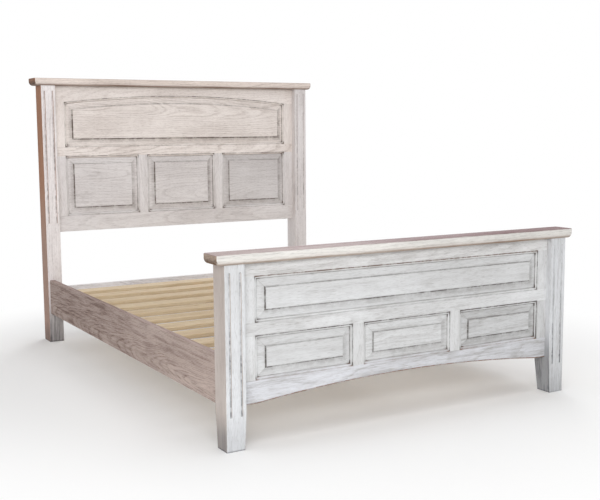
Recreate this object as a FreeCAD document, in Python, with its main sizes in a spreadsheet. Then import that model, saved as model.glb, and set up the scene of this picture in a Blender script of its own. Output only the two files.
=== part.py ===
import FreeCAD, Part
import math
import operator
import os
import Sketcher

from FreeCAD import Placement, Rotation, Vector

# Panelled bed frame, in millimetres.
# X runs across the bed, -Y is the foot end, +Y the head end and +Z is up.
# The origin is on the floor, under the middle of the frame.

# Driving sizes: name, value, what it measures
SIZES = (
    ("overall_width", 1610, "across the outer faces of the posts"),
    ("clear_length", 2077, "from the foot posts to the head posts"),
    ("foot_height", 666, "floor to the underside of the foot cap"),
    ("head_height", 1370, "floor to the underside of the head cap"),
    ("foot_post_width", 80, "foot post, across the bed"),
    ("foot_post_depth", 90, "foot post, along the bed"),
    ("foot_leg_width", 72, "tapered foot leg at the floor, across the bed"),
    ("foot_leg_depth", 74, "tapered foot leg at the floor, along the bed"),
    ("head_post_width", 76, "head post, across the bed"),
    ("head_post_depth", 100, "head post, along the bed"),
    ("post_ease", 2, "rounding of the posts' long edges"),
    ("flute_radius", 4.4, "half-round section of a flute"),
    ("flute_spacing", 43, "between the two flutes of a post"),
    ("flute_nose", 4, "tapering end of a flute"),
    ("foot_flute_bottom", 121, "floor to the lower end of the foot flutes"),
    ("head_flute_bottom", 638, "floor to the lower end of the head flutes"),
    ("flute_top_gap", 25, "cap to the upper end of the flutes"),
    ("cap_thickness", 38, "caps of both boards"),
    ("cap_side_overhang", 35, "cap past the outer faces of the posts"),
    ("cap_face_overhang", 5, "cap past the front and back of the posts"),
    ("cap_end_round", 22, "rounding under the cap's ends"),
    ("cap_bevel", 5, "bevel under and beside the cap's front and back"),
    ("cap_ease", 2, "bevel of the cap's upper edge"),
    ("frame_thickness", 28, "rails, stiles and mullions"),
    ("foot_setback", 27, "foot frame behind the front of its posts"),
    ("head_setback", 37, "head frame behind the front of its posts"),
    ("foot_stile", 52, "flat face of a foot stile"),
    ("head_stile", 57, "flat face of a head stile"),
    ("mullion", 53, "flat face of a mullion"),
    ("foot_bottom_rail", 86, "height of the foot board's bottom rail"),
    ("foot_lower_opening", 161, "height of the foot board's lower openings"),
    ("foot_upper_opening", 166, "height of the foot board's upper opening"),
    ("foot_mid_rail", 49, "height of the foot board's middle rail"),
    ("foot_top_rail", 50, "height of the foot board's top rail"),
    ("foot_arch_half", 670, "half the span of the arch under the foot board"),
    ("foot_arch_end", 55, "flat edge between that arch and a post"),
    ("foot_arch_rise", 37, "rise of the arch under the foot board"),
    ("head_lower_rail_bottom", 590, "floor to the head board's lower rail"),
    ("head_lower_rail", 86, "height of the head board's lower rail"),
    ("head_lower_opening", 320, "height of the head board's lower openings"),
    ("head_upper_opening", 237.5, "height of the head board's upper opening beside its arch"),
    ("head_mid_rail", 50, "height of the head board's middle rail"),
    ("head_top_rail", 86.5, "height of the head board's top rail beside its arch"),
    ("head_arch_rise", 39.5, "rise of the arch over the head board's top panel"),
    ("stretcher_bottom", 165, "floor to the head stretcher"),
    ("stretcher_height", 125, "head stretcher"),
    ("stick_width", 9, "moulded edge round a panel opening"),
    ("stick_quirk", 1.2, "step down from the flat face to the moulded edge"),
    ("stick_round", 6, "round of the moulded edge"),
    ("groove_front", 8.4, "front face of a frame to its panel groove"),
    ("groove_width", 7, "panel groove, and the tenons in its line"),
    ("groove_depth", 11, "panel groove"),
    ("panel_gap", 1.5, "room for a panel to move in its groove"),
    ("bevel_lip", 0.6, "square edge in front of a panel's tongue"),
    ("field_inset", 43, "opening's edge to the raised field of its panel"),
    ("field_step", 2.6, "step round the raised field"),
    ("field_setback", 1, "raised field behind the front of the frame"),
    ("tenon_length", 25, "rail tenon in a post"),
    ("tenon_shoulder", 9, "rail tenon below and above its rail's edges"),
    ("stub_length", 15, "upright's tenon in a rail"),
    ("stub_shoulder", 9, "upright's tenon inside its flat face"),
    ("tenon_end_gap", 1, "glue room past the end of a tenon"),
    ("wood_fit", 0.2, "clearance on each face of a wood joint"),
    ("rail_bottom", 154, "floor to the side rails and the foot board"),
    ("rail_height", 182, "side rail"),
    ("rail_thickness", 28, "side rail"),
    ("rail_inset", 10, "side rail behind the outer faces of the posts"),
    ("rail_ease", 3, "rounding of the side rails' long edges"),
    ("cleat_width", 25, "cleat, out from its side rail"),
    ("cleat_height", 40, "cleat"),
    ("cleat_end_gap", 30, "end of a cleat to the posts"),
    ("slat_count", 11, "slats"),
    ("slat_width", 95, "slat, along the bed"),
    ("slat_thickness", 19, "slat"),
    ("slat_drop", 55, "top of the slats below the top of the side rails"),
    ("slat_end_gap", 3, "end of a slat to its side rail"),
    ("slat_ease", 3, "bevel of the slats' long edges"),
    ("beam_width", 44, "centre beam"),
    ("beam_height", 60, "centre beam"),
    ("beam_end_gap", 1, "end of the centre beam to the boards"),
    ("leg_width", 74, "centre leg, across the bed"),
    ("leg_depth", 45, "centre leg, along the bed"),
    ("leg_cheek", 35, "cheeks of a centre leg beside the beam"),
    ("leg_clear", 26, "floor to the bottom of a centre leg"),
    ("bolt_radius", 3, "leg bolt"),
    ("bolt_head_radius", 5, "leg bolt's head, to its flats"),
    ("bolt_head_height", 4, "leg bolt"),
    ("bolt_fit", 0.3, "clearance round a leg bolt"),
    ("nut_radius", 5, "leg bolt's nut, to its flats"),
    ("nut_height", 5, "leg bolt's nut"),
    ("nut_fit", 0.1, "clearance of the nut round its bolt"),
    ("insert_radius", 7, "sleeve of a leg insert"),
    ("insert_depth", 15, "sleeve of a leg insert"),
    ("insert_flange_radius", 12, "flange of a leg insert"),
    ("insert_flange", 1.5, "thickness of an insert's flange"),
    ("insert_fit", 0.15, "clearance round an insert's sleeve"),
    ("stud_radius", 4, "leveller's stud"),
    ("stud_fit", 0.08, "clearance of the stud in its insert"),
    ("stud_top", 53, "floor to the top of a leveller's stud"),
    ("stud_room", 14, "room for the stud to rise in its leg"),
    ("stud_side_room", 1.5, "room beside the stud above its insert"),
    ("pad_radius", 22, "leveller's pad"),
    ("pad_height", 8, "leveller's pad"),
    ("jam_nut_radius", 6.5, "leveller's nut, to its flats"),
    ("jam_nut_height", 4, "leveller's nut"),
    ("plate_width", 22, "hook plates and keeper plates"),
    ("plate_height", 140, "hook plates and keeper plates"),
    ("plate_thickness", 3, "hook plates and keeper plates"),
    ("plate_fit", 0.2, "clearance round a plate in its seat"),
    ("hook_thickness", 4, "hook, across the bed"),
    ("hook_neck", 12, "height of a hook's neck"),
    ("hook_drop", 12, "hook below its neck"),
    ("hook_reach", 6, "hook behind its keeper"),
    ("hook_spacing", 58, "between the hooks of a plate"),
    ("hook_fit", 0.3, "clearance of a hook in its slot"),
    ("plate_screw_margin", 10, "plate screw to the end of its plate"),
    ("bracket_gauge", 3, "sheet of the beam brackets"),
    ("bracket_length", 45, "bracket's cheeks along the beam"),
    ("bracket_height", 44, "beam brackets"),
    ("bracket_ear", 22, "bracket's ear beside its cheek"),
    ("screw_radius", 2, "screw's shank"),
    ("screw_head_radius", 4, "screw's head"),
    ("long_screw", 36, "slat and cleat screws"),
    ("short_screw", 20, "plate and bracket screws"),
    ("screw_fit", 0.1, "clearance of a screw in a steel plate"),
)
SIDES = (("left", -1), ("right", 1))
FULL_TURN = 360
HALF_TURN = 180
QUARTER_TURN = 90
SIXTH_SLOPE = math.tan(math.pi / 6)
NEAR = 1e-4

OPERATIONS = {"+": operator.add, "-": operator.sub, "*": operator.mul, "/": operator.truediv}


class Formula:
    """A length worked out from the sheet: its value and the expression that gives it."""

    def __init__(self, value, text):
        self.value = value
        self.text = text

    def __add__(self, other):
        return combine(self, "+", other)

    def __radd__(self, other):
        return combine(other, "+", self)

    def __sub__(self, other):
        return combine(self, "-", other)

    def __rsub__(self, other):
        return combine(other, "-", self)

    def __mul__(self, other):
        return combine(self, "*", other)

    def __rmul__(self, other):
        return combine(other, "*", self)

    def __truediv__(self, other):
        return combine(self, "/", other)

    def __neg__(self):
        return combine(0, "-", self)


def formula(amount):
    return amount if isinstance(amount, Formula) else Formula(amount, repr(float(amount)))


def combine(left, sign, right):
    left, right = formula(left), formula(right)
    return Formula(OPERATIONS[sign](left.value, right.value), f"({left.text} {sign} {right.text})")


def root(amount):
    return Formula(math.sqrt(amount.value), f"sqrt({amount.text})")


class Sizes:
    """The sheet's cells, each as a formula under the cell's own name."""


def fill_sheet(document):
    sheet = document.addObject("Spreadsheet::Sheet", "sizes")
    cells = Sizes()
    for row, (name, value, meaning) in enumerate(SIZES, 1):
        sheet.set(f"A{row}", name)
        sheet.set(f"B{row}", str(value))
        sheet.setAlias(f"B{row}", name)
        sheet.set(f"C{row}", meaning)
        setattr(cells, name, Formula(value, f"{sheet.Name}.{name}"))
    return cells


doc = FreeCAD.newDocument("bed_frame")
size = fill_sheet(doc)
doc.recompute()
nodes = []


# Sketches and features

def bind(thing, name, amount):
    thing.setExpression(name, formula(amount).text)


def new_body(label, place=(0, 0, 0), is_node=True):
    body = doc.addObject("PartDesign::Body", label)
    body.Label = label
    for axis, amount in zip("xyz", place):
        bind(body, f"Placement.Base.{axis}", amount)
    if is_node:
        nodes.append(body)
    return body


def plane_of(body, role):
    return next(plane for plane in body.Origin.OriginFeatures if plane.Role == role)


def new_sketch(body, role, shift):
    sketch = body.newObject("Sketcher::SketchObject", "outline")
    sketch.AttachmentSupport = (plane_of(body, role), [""])
    sketch.MapMode = "FlatFace"
    for axis, amount in zip("xyz", shift):
        bind(sketch, f"AttachmentOffset.Base.{axis}", amount)
    return sketch


def edge_between(corner, following):
    """A line to the next corner, or an arc if the corner names the height of a centre at x = 0."""
    start = Vector(formula(corner[0]).value, formula(corner[1]).value, 0)
    end = Vector(formula(following[0]).value, formula(following[1]).value, 0)
    if len(corner) < 3 or corner[2] is None:
        return Part.LineSegment(start, end), (1, 2)
    centre = Vector(0, corner[2].value, 0)
    circle = Part.Circle(centre, Vector(0, 0, 1), (start - centre).Length)
    turn = [math.atan2((point - centre).y, (point - centre).x) for point in (start, end)]
    ends = (1, 2) if turn[0] < turn[1] else (2, 1)
    return Part.ArcOfCircle(circle, min(turn), max(turn)), ends


def draw(body, role, loops, shift=(0, 0, 0)):
    """Closed loops of corners on one of the body's planes, each corner bound to its formulas."""
    sketch = new_sketch(body, role, shift)
    edges, constraints, bound = [], [], []

    def measure(kind, edge, point, amount):
        bound.append((len(constraints), amount))
        constraints.append(Sketcher.Constraint(kind, -1, 1, edge, point, formula(amount).value))

    for loop in loops:
        first = len(edges)
        made = [edge_between(corner, loop[(i + 1) % len(loop)]) for i, corner in enumerate(loop)]
        edges.extend(edge for edge, ends in made)
        for i, corner in enumerate(loop):
            following = (i + 1) % len(loop)
            meet = (first + i, made[i][1][1], first + following, made[following][1][0])
            constraints.append(Sketcher.Constraint("Coincident", *meet))
            measure("DistanceX", first + i, made[i][1][0], corner[0])
            measure("DistanceY", first + i, made[i][1][0], corner[1])
            if len(corner) > 2 and corner[2] is not None:
                measure("DistanceY", first + i, 3, corner[2])
    sketch.addGeometry(edges, False)
    sketch.addConstraint(constraints)
    for index, amount in bound:
        bind(sketch, f"Constraints[{index}]", amount)
    return sketch


def rectangle(left, right, bottom, top):
    return [(left, bottom), (right, bottom), (right, top), (left, top)]


def hexagon(radius, across=0, up=0):
    """Six corners round a point, with the flats at the radius."""
    near = radius * SIXTH_SLOPE
    corners = [(radius, -near), (radius, near), (0, 2 * near),
               (-radius, near), (-radius, -near), (0, -2 * near)]
    return [(across + x, up + y) for x, y in corners]


def extrude(body, kind, sketch, length, reverse=False):
    feature = body.newObject(f"PartDesign::{kind}", kind.lower())
    feature.Profile = sketch
    feature.Reversed = reverse
    bind(feature, "Length", length)
    return feature


def revolve(body, kind, sketch, axis):
    feature = body.newObject(f"PartDesign::{kind}", kind.lower())
    feature.Profile = sketch
    feature.ReferenceAxis = (sketch, [axis])
    feature.Angle = FULL_TURN
    return feature


def dress(body, kind, amount, wanted):
    """Round or bevel the edges of the body that the test picks."""
    doc.recompute()
    base = body.Tip
    picked = [f"Edge{i}" for i, edge in enumerate(base.Shape.Edges, 1) if wanted(edge)]
    if not picked:
        raise ValueError(f"{body.Label}: no edge to dress")
    feature = body.newObject(f"PartDesign::{kind}", kind.lower())
    feature.Base = (base, picked)
    bind(feature, "Radius" if kind == "Fillet" else "Size", amount)
    return feature


def runs_along(edge, axis):
    return edge.Curve.TypeId == "Part::GeomLine" and abs(edge.Curve.Direction * axis) > 1 - NEAR


def lies_at(edge, axis, amount):
    """Whether the whole edge lies at one distance along an axis."""
    box = edge.BoundBox
    low, high = Vector(box.XMin, box.YMin, box.ZMin), Vector(box.XMax, box.YMax, box.ZMax)
    place = formula(amount).value
    return abs(low * axis - place) < NEAR and abs(high * axis - place) < NEAR


ALONG_X, ALONG_Y, ALONG_Z = Vector(1, 0, 0), Vector(0, 1, 0), Vector(0, 0, 1)


def countersink(body, axis, face):
    """Bevel the mouths of the screw holes on one face, for the heads of the screws."""
    side = 2 * screw_hole.value * SIXTH_SLOPE

    def is_mouth(edge):
        return lies_at(edge, axis, face) and abs(edge.Length - side) < NEAR

    dress(body, "Chamfer", size.screw_head_radius - size.screw_radius, is_mouth)


# Where the main pieces stand

half_width = size.overall_width / 2
post_span = size.foot_post_depth + size.clear_length + size.head_post_depth
foot_front = -post_span / 2
foot_back = foot_front + size.foot_post_depth
head_front = foot_back + size.clear_length
rail_centre = half_width - size.rail_inset - size.rail_thickness / 2
rail_inner = rail_centre - size.rail_thickness / 2
rail_top = size.rail_bottom + size.rail_height
plate_centre = size.rail_bottom + size.rail_height / 2
slat_top = rail_top - size.slat_drop
slat_bottom = slat_top - size.slat_thickness
cleat_centre = rail_inner - size.cleat_width / 2
beam_bottom = slat_bottom - size.beam_height
slat_count = int(size.slat_count.value)
slat_pitch = size.clear_length / size.slat_count
slat_places = [(i + 0.5) * slat_pitch for i in range(slat_count)]
cleat_screw_places = [i * slat_pitch for i in range(1, slat_count, 2)]
leg_places = [("front", size.clear_length / 3), ("rear", size.clear_length * 2 / 3)]
bolt_height = beam_bottom + size.leg_cheek / 2
stick = size.stick_width
screw_hole = size.screw_radius + size.screw_fit
plate_screw_rise = size.plate_height / 2 - size.plate_screw_margin
hook_bottoms = [rise * size.hook_spacing / 2 - size.hook_neck / 2 for rise in (-1, 1)]


def share(length, part, rest):
    """The part's portion of a length that two sizes divide between them."""
    return length * part / (part + rest)


class Opening:
    """A panel opening, bounded where the flat faces of the frame round it end."""

    def __init__(self, left, right, bottom, top, rise=None):
        self.left, self.right, self.bottom, self.top = left, right, bottom, top
        self.centre = None
        if rise is not None:
            self.radius = (right * right + rise * rise) / (2 * rise)
            self.centre = top + rise - self.radius

    def top_corner(self, inset):
        if self.centre is None:
            return self.top - inset
        reach, across = self.radius - inset, self.right - inset
        return self.centre + root(reach * reach - across * across)

    def outline(self, inset):
        left, right, top = self.left + inset, self.right - inset, self.top_corner(inset)
        bottom = self.bottom + inset
        return [(left, bottom), (right, bottom), (right, top, self.centre), (left, top)]

    def on_rim(self, point, inset):
        """Whether a point lies on the outline, moved in by the inset."""
        left, right = (self.left + inset).value, (self.right - inset).value
        bottom, top = (self.bottom + inset).value, self.top_corner(inset).value
        at_side = min(abs(point.x - left), abs(point.x - right)) < NEAR and bottom < point.z < top
        within = left < point.x < right
        if self.centre is None:
            at_top = abs(point.z - top) < NEAR
        else:
            reach = math.hypot(point.x, point.z - self.centre.value)
            at_top = abs(reach - (self.radius - inset).value) < NEAR
        return at_side or within and (at_top or abs(point.z - bottom) < NEAR)


class Board:
    """One end of the bed: its posts, its frame's place and heights, and its panel openings."""

    def __init__(self, name, front, lower_bottom, mid_bottom, mid_top, top_bottom, rise):
        self.name, self.front = name, front
        for item in ("height", "post_width", "post_depth", "setback", "stile", "flute_bottom"):
            setattr(self, item, getattr(size, f"{name}_{item}"))
        self.frame_front = front + self.setback
        self.half_length = half_width - self.post_width
        half_opening = self.half_length - self.stile
        width = (2 * half_opening - 2 * size.mullion) / 3
        self.upper = Opening(-half_opening, half_opening, mid_top, top_bottom, rise)
        self.lower = []
        for i in range(3):
            left = -half_opening + i * (width + size.mullion)
            self.lower.append(Opening(left, left + width, lower_bottom, mid_bottom))


foot_lower = size.rail_bottom + size.foot_bottom_rail
foot_openings = size.foot_height - size.foot_top_rail - size.foot_mid_rail - foot_lower
foot_mid = foot_lower + share(foot_openings, size.foot_lower_opening, size.foot_upper_opening)
foot = Board("foot", foot_front, foot_lower, foot_mid, foot_mid + size.foot_mid_rail,
             size.foot_height - size.foot_top_rail, None)
head_lower = size.head_lower_rail_bottom + size.head_lower_rail
head_openings = size.head_height - size.head_top_rail - size.head_mid_rail - head_lower
head_mid = head_lower + share(head_openings, size.head_lower_opening, size.head_upper_opening)
head = Board("head", head_front, head_lower, head_mid, head_mid + size.head_mid_rail,
             size.head_height - size.head_top_rail, size.head_arch_rise)
foot.rails = {
    "bottom_rail": (size.rail_bottom, foot_lower),
    "mid_rail": (foot_mid, foot.upper.bottom),
    "top_rail": (foot.upper.top, size.foot_height),
}
head.rails = {
    "stretcher": (size.stretcher_bottom, size.stretcher_bottom + size.stretcher_height),
    "lower_rail": (size.head_lower_rail_bottom, head_lower),
    "mid_rail": (head_mid, head.upper.bottom),
    "top_rail": (head.upper.top, size.head_height),
}


# Posts and caps

def taper_leg(body, side):
    """Slope the inner and back faces of a foot post in towards the floor, below the rails."""
    inner = -side * size.foot_post_width / 2
    floor_inner = inner + side * (size.foot_post_width - size.foot_leg_width)
    slope = draw(body, "XZ_Plane", [[(inner, size.rail_bottom), (inner, 0), (floor_inner, 0)]])
    extrude(body, "Pocket", slope, size.foot_post_depth)
    back = [(size.foot_post_depth, size.rail_bottom), (size.foot_post_depth, 0), (size.foot_leg_depth, 0)]
    slope = draw(body, "YZ_Plane", [back], (0, 0, size.foot_post_width / 2))
    extrude(body, "Pocket", slope, size.foot_post_width)


def cut_flutes(body, bottom, top):
    """Two flutes with tapering ends on the front face: a spindle turned about its axis, and its mirror."""
    radius, nose = size.flute_radius, size.flute_nose
    spindle = [(0, bottom), (radius, bottom + nose), (radius, top - nose), (0, top)]
    sketch = draw(body, "YZ_Plane", [spindle], (0, 0, size.flute_spacing / 2))
    flute = revolve(body, "Groove", sketch, "V_Axis")
    pair = body.newObject("PartDesign::Mirrored", "flute_pair")
    pair.Originals = [flute]
    pair.MirrorPlane = (plane_of(body, "YZ_Plane"), [""])
    body.Tip = pair


def tenon_span(bottom, top):
    return bottom + size.tenon_shoulder, top - size.tenon_shoulder


def cut_mortises(body, board, side):
    """Mortises in the inner side of a post, one for each rail of its board."""
    front = board.setback + size.groove_front
    loops = []
    for bottom, top in board.rails.values():
        low, high = tenon_span(bottom, top)
        loops.append(rectangle(front, front + size.groove_width, low, high))
    inner = -side * board.post_width / 2
    sketch = draw(body, "YZ_Plane", loops, (0, 0, inner))
    extrude(body, "Pocket", sketch, size.tenon_length + size.tenon_end_gap, reverse=side > 0)


def cut_keeper_seat(body, board, side):
    """Seat and hook pockets where a side rail hooks on to a post."""
    at_back = board is foot
    across = side * (board.post_width / 2 - size.rail_inset - size.rail_thickness / 2)
    shift = (across, plate_centre, -board.post_depth if at_back else 0)
    half_plate = size.plate_width / 2 + size.plate_fit
    half_rise = size.plate_height / 2 + size.plate_fit
    seat = draw(body, "XZ_Plane", [rectangle(-half_plate, half_plate, -half_rise, half_rise)], shift)
    extrude(body, "Pocket", seat, size.plate_thickness, reverse=at_back)
    half_hook = size.hook_thickness / 2 + 2 * size.hook_fit
    loops = []
    for bottom in hook_bottoms:
        low = bottom - size.hook_drop - size.hook_fit
        loops.append(rectangle(-half_hook, half_hook, low, bottom + size.hook_neck + size.hook_drop))
    hooks = draw(body, "XZ_Plane", loops, shift)
    reach = size.plate_thickness + size.hook_reach + 3 * size.hook_fit
    extrude(body, "Pocket", hooks, reach, reverse=at_back)


def make_post(board, word, side):
    half = board.post_width / 2
    body = new_body(f"{board.name}_post_{word}", (side * (half_width - half), board.front, 0))
    section = draw(body, "XY_Plane", [rectangle(-half, half, 0, board.post_depth)])
    extrude(body, "Pad", section, board.height)
    dress(body, "Fillet", size.post_ease, lambda edge: runs_along(edge, ALONG_Z))
    if board is foot:
        taper_leg(body, side)
    cut_flutes(body, board.flute_bottom, board.height - size.flute_top_gap)
    cut_mortises(body, board, side)
    cut_keeper_seat(body, board, side)


def make_cap(board):
    """Cap over both posts, with a large round under its ends and a bevel round its front and back."""
    body = new_body(f"{board.name}_cap", (0, board.front, board.height))
    half = half_width + size.cap_side_overhang
    back = board.post_depth + size.cap_face_overhang
    plan = draw(body, "XY_Plane", [rectangle(-half, half, -size.cap_face_overhang, back)])
    extrude(body, "Pad", plan, size.cap_thickness)

    def on_top(edge):
        return lies_at(edge, ALONG_Z, size.cap_thickness)

    def on_face(edge):
        return lies_at(edge, ALONG_Y, -size.cap_face_overhang) or lies_at(edge, ALONG_Y, back)

    def under_end(edge):
        return lies_at(edge, ALONG_Z, 0) and runs_along(edge, ALONG_Y)

    dress(body, "Fillet", size.cap_end_round, under_end)
    dress(body, "Chamfer", size.cap_bevel, lambda edge: on_face(edge) and not on_top(edge))
    dress(body, "Chamfer", size.cap_ease, on_top)


# Frames: rails, stiles and mullions with moulded edges and grooved panels

def mould_edges(body, openings):
    """Step down, round over and groove the edges that face the openings."""
    steps = draw(body, "XZ_Plane", [opening.outline(0) for opening in openings])
    extrude(body, "Pocket", steps, size.stick_quirk)

    def on_edge(edge):
        if not lies_at(edge, ALONG_Y, size.stick_quirk):
            return False
        middle = edge.valueAt((edge.FirstParameter + edge.LastParameter) / 2)
        return any(opening.on_rim(middle, stick) for opening in openings)

    dress(body, "Fillet", size.stick_round, on_edge)
    grooves = [opening.outline(stick - size.groove_depth) for opening in openings]
    sketch = draw(body, "XZ_Plane", grooves, (0, 0, -size.groove_front))
    extrude(body, "Pocket", sketch, size.groove_width)


def add_tongues(body, loops):
    """Tenons in the line of the panel groove."""
    sketch = draw(body, "XZ_Plane", loops, (0, 0, -size.groove_front - size.wood_fit))
    extrude(body, "Pad", sketch, size.groove_width - 2 * size.wood_fit, reverse=True)


def stub_span(left, right):
    return left + size.stub_shoulder, right - size.stub_shoulder


def rail_edge_below(board, bottom, openings):
    """Corners of a rail's lower edge from left to right, with a lip along each opening below it."""
    corners = [(-board.half_length, bottom)]
    for opening in openings:
        left, right, top = opening.left + stick, opening.right - stick, opening.top_corner(stick)
        corners += [(opening.left, bottom), (left, top, opening.centre), (right, top),
                    (opening.right, bottom)]
    return corners + [(board.half_length, bottom)]


def rail_edge_above(board, top, openings):
    """Corners of a rail's upper edge from right to left, with a lip along each opening above it."""
    corners = [(board.half_length, top)]
    for opening in reversed(openings):
        rise = opening.bottom + stick
        left, right = opening.left + stick, opening.right - stick
        corners += [(opening.right, top), (right, rise), (left, rise), (opening.left, top)]
    return corners + [(-board.half_length, top)]


def cut_stub_mortises(body, uprights, height, upwards):
    """Mortises in the edge of a rail for the tenons of the uprights that meet it there."""
    front, back = size.groove_front, size.groove_front + size.groove_width
    loops = []
    for left, right in uprights:
        start, stop = stub_span(left, right)
        loops.append(rectangle(start - size.wood_fit, stop + size.wood_fit, front, back))
    sketch = draw(body, "XY_Plane", loops, (0, 0, height))
    extrude(body, "Pocket", sketch, size.stub_length + size.tenon_end_gap, reverse=upwards)


def make_rail(board, name, below=(), above=(), lower_edge=None):
    """Rail between the posts, tenoned into both, with panel openings below or above it."""
    bottom, top = board.rails[name]
    body = new_body(f"{board.name}_{name}", (0, board.frame_front, 0))
    corners = lower_edge or rail_edge_below(board, bottom, below)
    outline = draw(body, "XZ_Plane", [corners + rail_edge_above(board, top, above)])
    extrude(body, "Pad", outline, size.frame_thickness, reverse=True)
    low, high = tenon_span(bottom, top)
    tip = board.half_length + size.tenon_length
    start = board.half_length - size.tenon_length
    spans = ((-tip, -start), (start, tip))
    low, high = low + size.wood_fit, high - size.wood_fit
    add_tongues(body, [rectangle(left, right, low, high) for left, right in spans])
    openings = list(below) + list(above)
    if openings:
        mould_edges(body, openings)
    if below:
        cut_stub_mortises(body, upright_spans(board, below), bottom, upwards=True)
    if above:
        cut_stub_mortises(body, upright_spans(board, above), top, upwards=False)


def upright_spans(board, openings):
    """Left and right edges of the flat faces of the stiles and mullions beside a row of openings."""
    edges = [-board.half_length]
    for opening in openings:
        edges += [opening.left, opening.right]
    edges.append(board.half_length)
    return list(zip(edges[::2], edges[1::2]))


def make_upright(label, board, span, row, left_opening, right_opening):
    """Stile or mullion between two rails, with a lip along the opening on either side of it."""
    left, right = span
    bottom, top = row.bottom, row.top
    corners = [(left, bottom), (right, bottom)]
    if right_opening:
        rise = right_opening.top_corner(stick)
        corners += [(right + stick, bottom + stick), (right + stick, rise)]
    corners += [(right, top), (left, top)]
    if left_opening:
        rise = left_opening.top_corner(stick)
        corners += [(left - stick, rise), (left - stick, bottom + stick)]
    body = new_body(label, (0, board.frame_front, 0))
    extrude(body, "Pad", draw(body, "XZ_Plane", [corners]), size.frame_thickness, reverse=True)
    start, stop = stub_span(left, right)
    rises = ((bottom - size.stub_length, bottom + stick), (top - stick, top + size.stub_length))
    add_tongues(body, [rectangle(start, stop, low, high) for low, high in rises])
    mould_edges(body, [opening for opening in (left_opening, right_opening) if opening])


def make_uprights(board):
    """Stiles beside the posts in both rows, and mullions between the lower panels."""
    rows = (("upper", [board.upper], ("left", "right")),
            ("lower", board.lower, ("left", "mullion_left", "mullion_right", "right")))
    for row, openings, words in rows:
        sides = list(zip([None] + openings, openings + [None]))
        for word, span, (left_opening, right_opening) in zip(words, upright_spans(board, openings), sides):
            name = word if word.startswith("mullion") else f"stile_{row}_{word}"
            make_upright(f"{board.name}_{name}", board, span, openings[0], left_opening, right_opening)


def make_panel(label, board, opening):
    """Panel with a tongue in the grooves, a wide bevel and a raised field."""
    body = new_body(label, (0, board.frame_front, 0))
    edge_inset = stick + size.wood_fit
    tongue_front = size.groove_front + size.wood_fit
    bevel_top = size.field_setback + size.field_step
    block = draw(body, "XZ_Plane", [opening.outline(edge_inset)], (0, 0, -tongue_front))
    extrude(body, "Pad", block, tongue_front - bevel_top)
    bevel_drop = tongue_front - bevel_top - size.bevel_lip
    bevel = dress(body, "Chamfer", bevel_drop, lambda edge: lies_at(edge, ALONG_Y, bevel_top))
    bevel.ChamferType = "Two distances"
    bind(bevel, "Size2", size.field_inset - edge_inset)
    tongue = opening.outline(stick - size.groove_depth + size.panel_gap)
    sketch = draw(body, "XZ_Plane", [tongue], (0, 0, -tongue_front))
    extrude(body, "Pad", sketch, size.groove_width - 2 * size.wood_fit, reverse=True)
    field = draw(body, "XZ_Plane", [opening.outline(size.field_inset)], (0, 0, -bevel_top))
    extrude(body, "Pad", field, size.field_step)


def make_panels(board):
    make_panel(f"{board.name}_panel_top", board, board.upper)
    for word, opening in zip(("left", "centre", "right"), board.lower):
        make_panel(f"{board.name}_panel_{word}", board, opening)


def arched_edge():
    """Lower edge of the foot board: flat beside the posts, then one low arc."""
    half = share(foot.half_length, size.foot_arch_half, size.foot_arch_end)
    rise = size.foot_arch_rise
    centre = size.rail_bottom + rise - (half * half + rise * rise) / (2 * rise)
    return [(-foot.half_length, size.rail_bottom), (-half, size.rail_bottom, centre),
            (half, size.rail_bottom), (foot.half_length, size.rail_bottom)]


def bracket_holes():
    """Screw places in the ears of a beam bracket, from the middle of the beam."""
    across = size.beam_width / 2 + size.wood_fit + size.bracket_gauge + size.bracket_ear / 2
    height = beam_bottom - size.bracket_gauge + size.bracket_height / 2
    return [(side * across, height) for word, side in SIDES]


def make_boards():
    for board in (head, foot):
        for word, side in SIDES:
            make_post(board, word, side)
        make_cap(board)
        make_rail(board, "top_rail", below=[board.upper])
        make_rail(board, "mid_rail", below=board.lower, above=[board.upper])
        make_uprights(board)
        make_panels(board)
    make_rail(head, "lower_rail", above=head.lower)
    make_rail(head, "stretcher")
    make_rail(foot, "bottom_rail", above=foot.lower, lower_edge=arched_edge())


# Side rails, cleats and slats

def make_side_rail(word, side):
    """Plain board along one side, with a seat for a hook plate in each end."""
    half = size.rail_thickness / 2
    body = new_body(f"side_rail_{word}", (side * rail_centre, foot_back, size.rail_bottom))
    section = draw(body, "XZ_Plane", [rectangle(-half, half, 0, size.rail_height)])
    extrude(body, "Pad", section, size.clear_length, reverse=True)
    dress(body, "Fillet", size.rail_ease, lambda edge: runs_along(edge, ALONG_Y))
    half_plate = size.plate_width / 2 + size.plate_fit
    half_rise = size.plate_height / 2 + size.plate_fit
    seat = rectangle(-half_plate, half_plate, -half_rise, half_rise)
    for end, into_rail in ((0, False), (size.clear_length, True)):
        sketch = draw(body, "XZ_Plane", [seat], (0, size.rail_height / 2, -end))
        extrude(body, "Pocket", sketch, size.plate_thickness, reverse=into_rail)


def make_cleat(word, side):
    """Batten on the inner face of a side rail, which carries the ends of the slats."""
    place = (side * cleat_centre, foot_back, slat_bottom - size.cleat_height)
    body = new_body(f"cleat_{word}", place)
    half = size.cleat_width / 2
    section = draw(body, "XZ_Plane", [rectangle(-half, half, 0, size.cleat_height)],
                   (0, 0, -size.cleat_end_gap))
    extrude(body, "Pad", section, size.clear_length - 2 * size.cleat_end_gap, reverse=True)


def make_slat(number, place):
    half_length = rail_inner - size.slat_end_gap
    half = size.slat_width / 2
    body = new_body(f"slat_{number:02d}", (0, foot_back + place, slat_bottom))
    plan = draw(body, "XY_Plane", [rectangle(-half_length, half_length, -half, half)])
    extrude(body, "Pad", plan, size.slat_thickness)
    dress(body, "Chamfer", size.slat_ease, lambda edge: runs_along(edge, ALONG_X))


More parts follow.
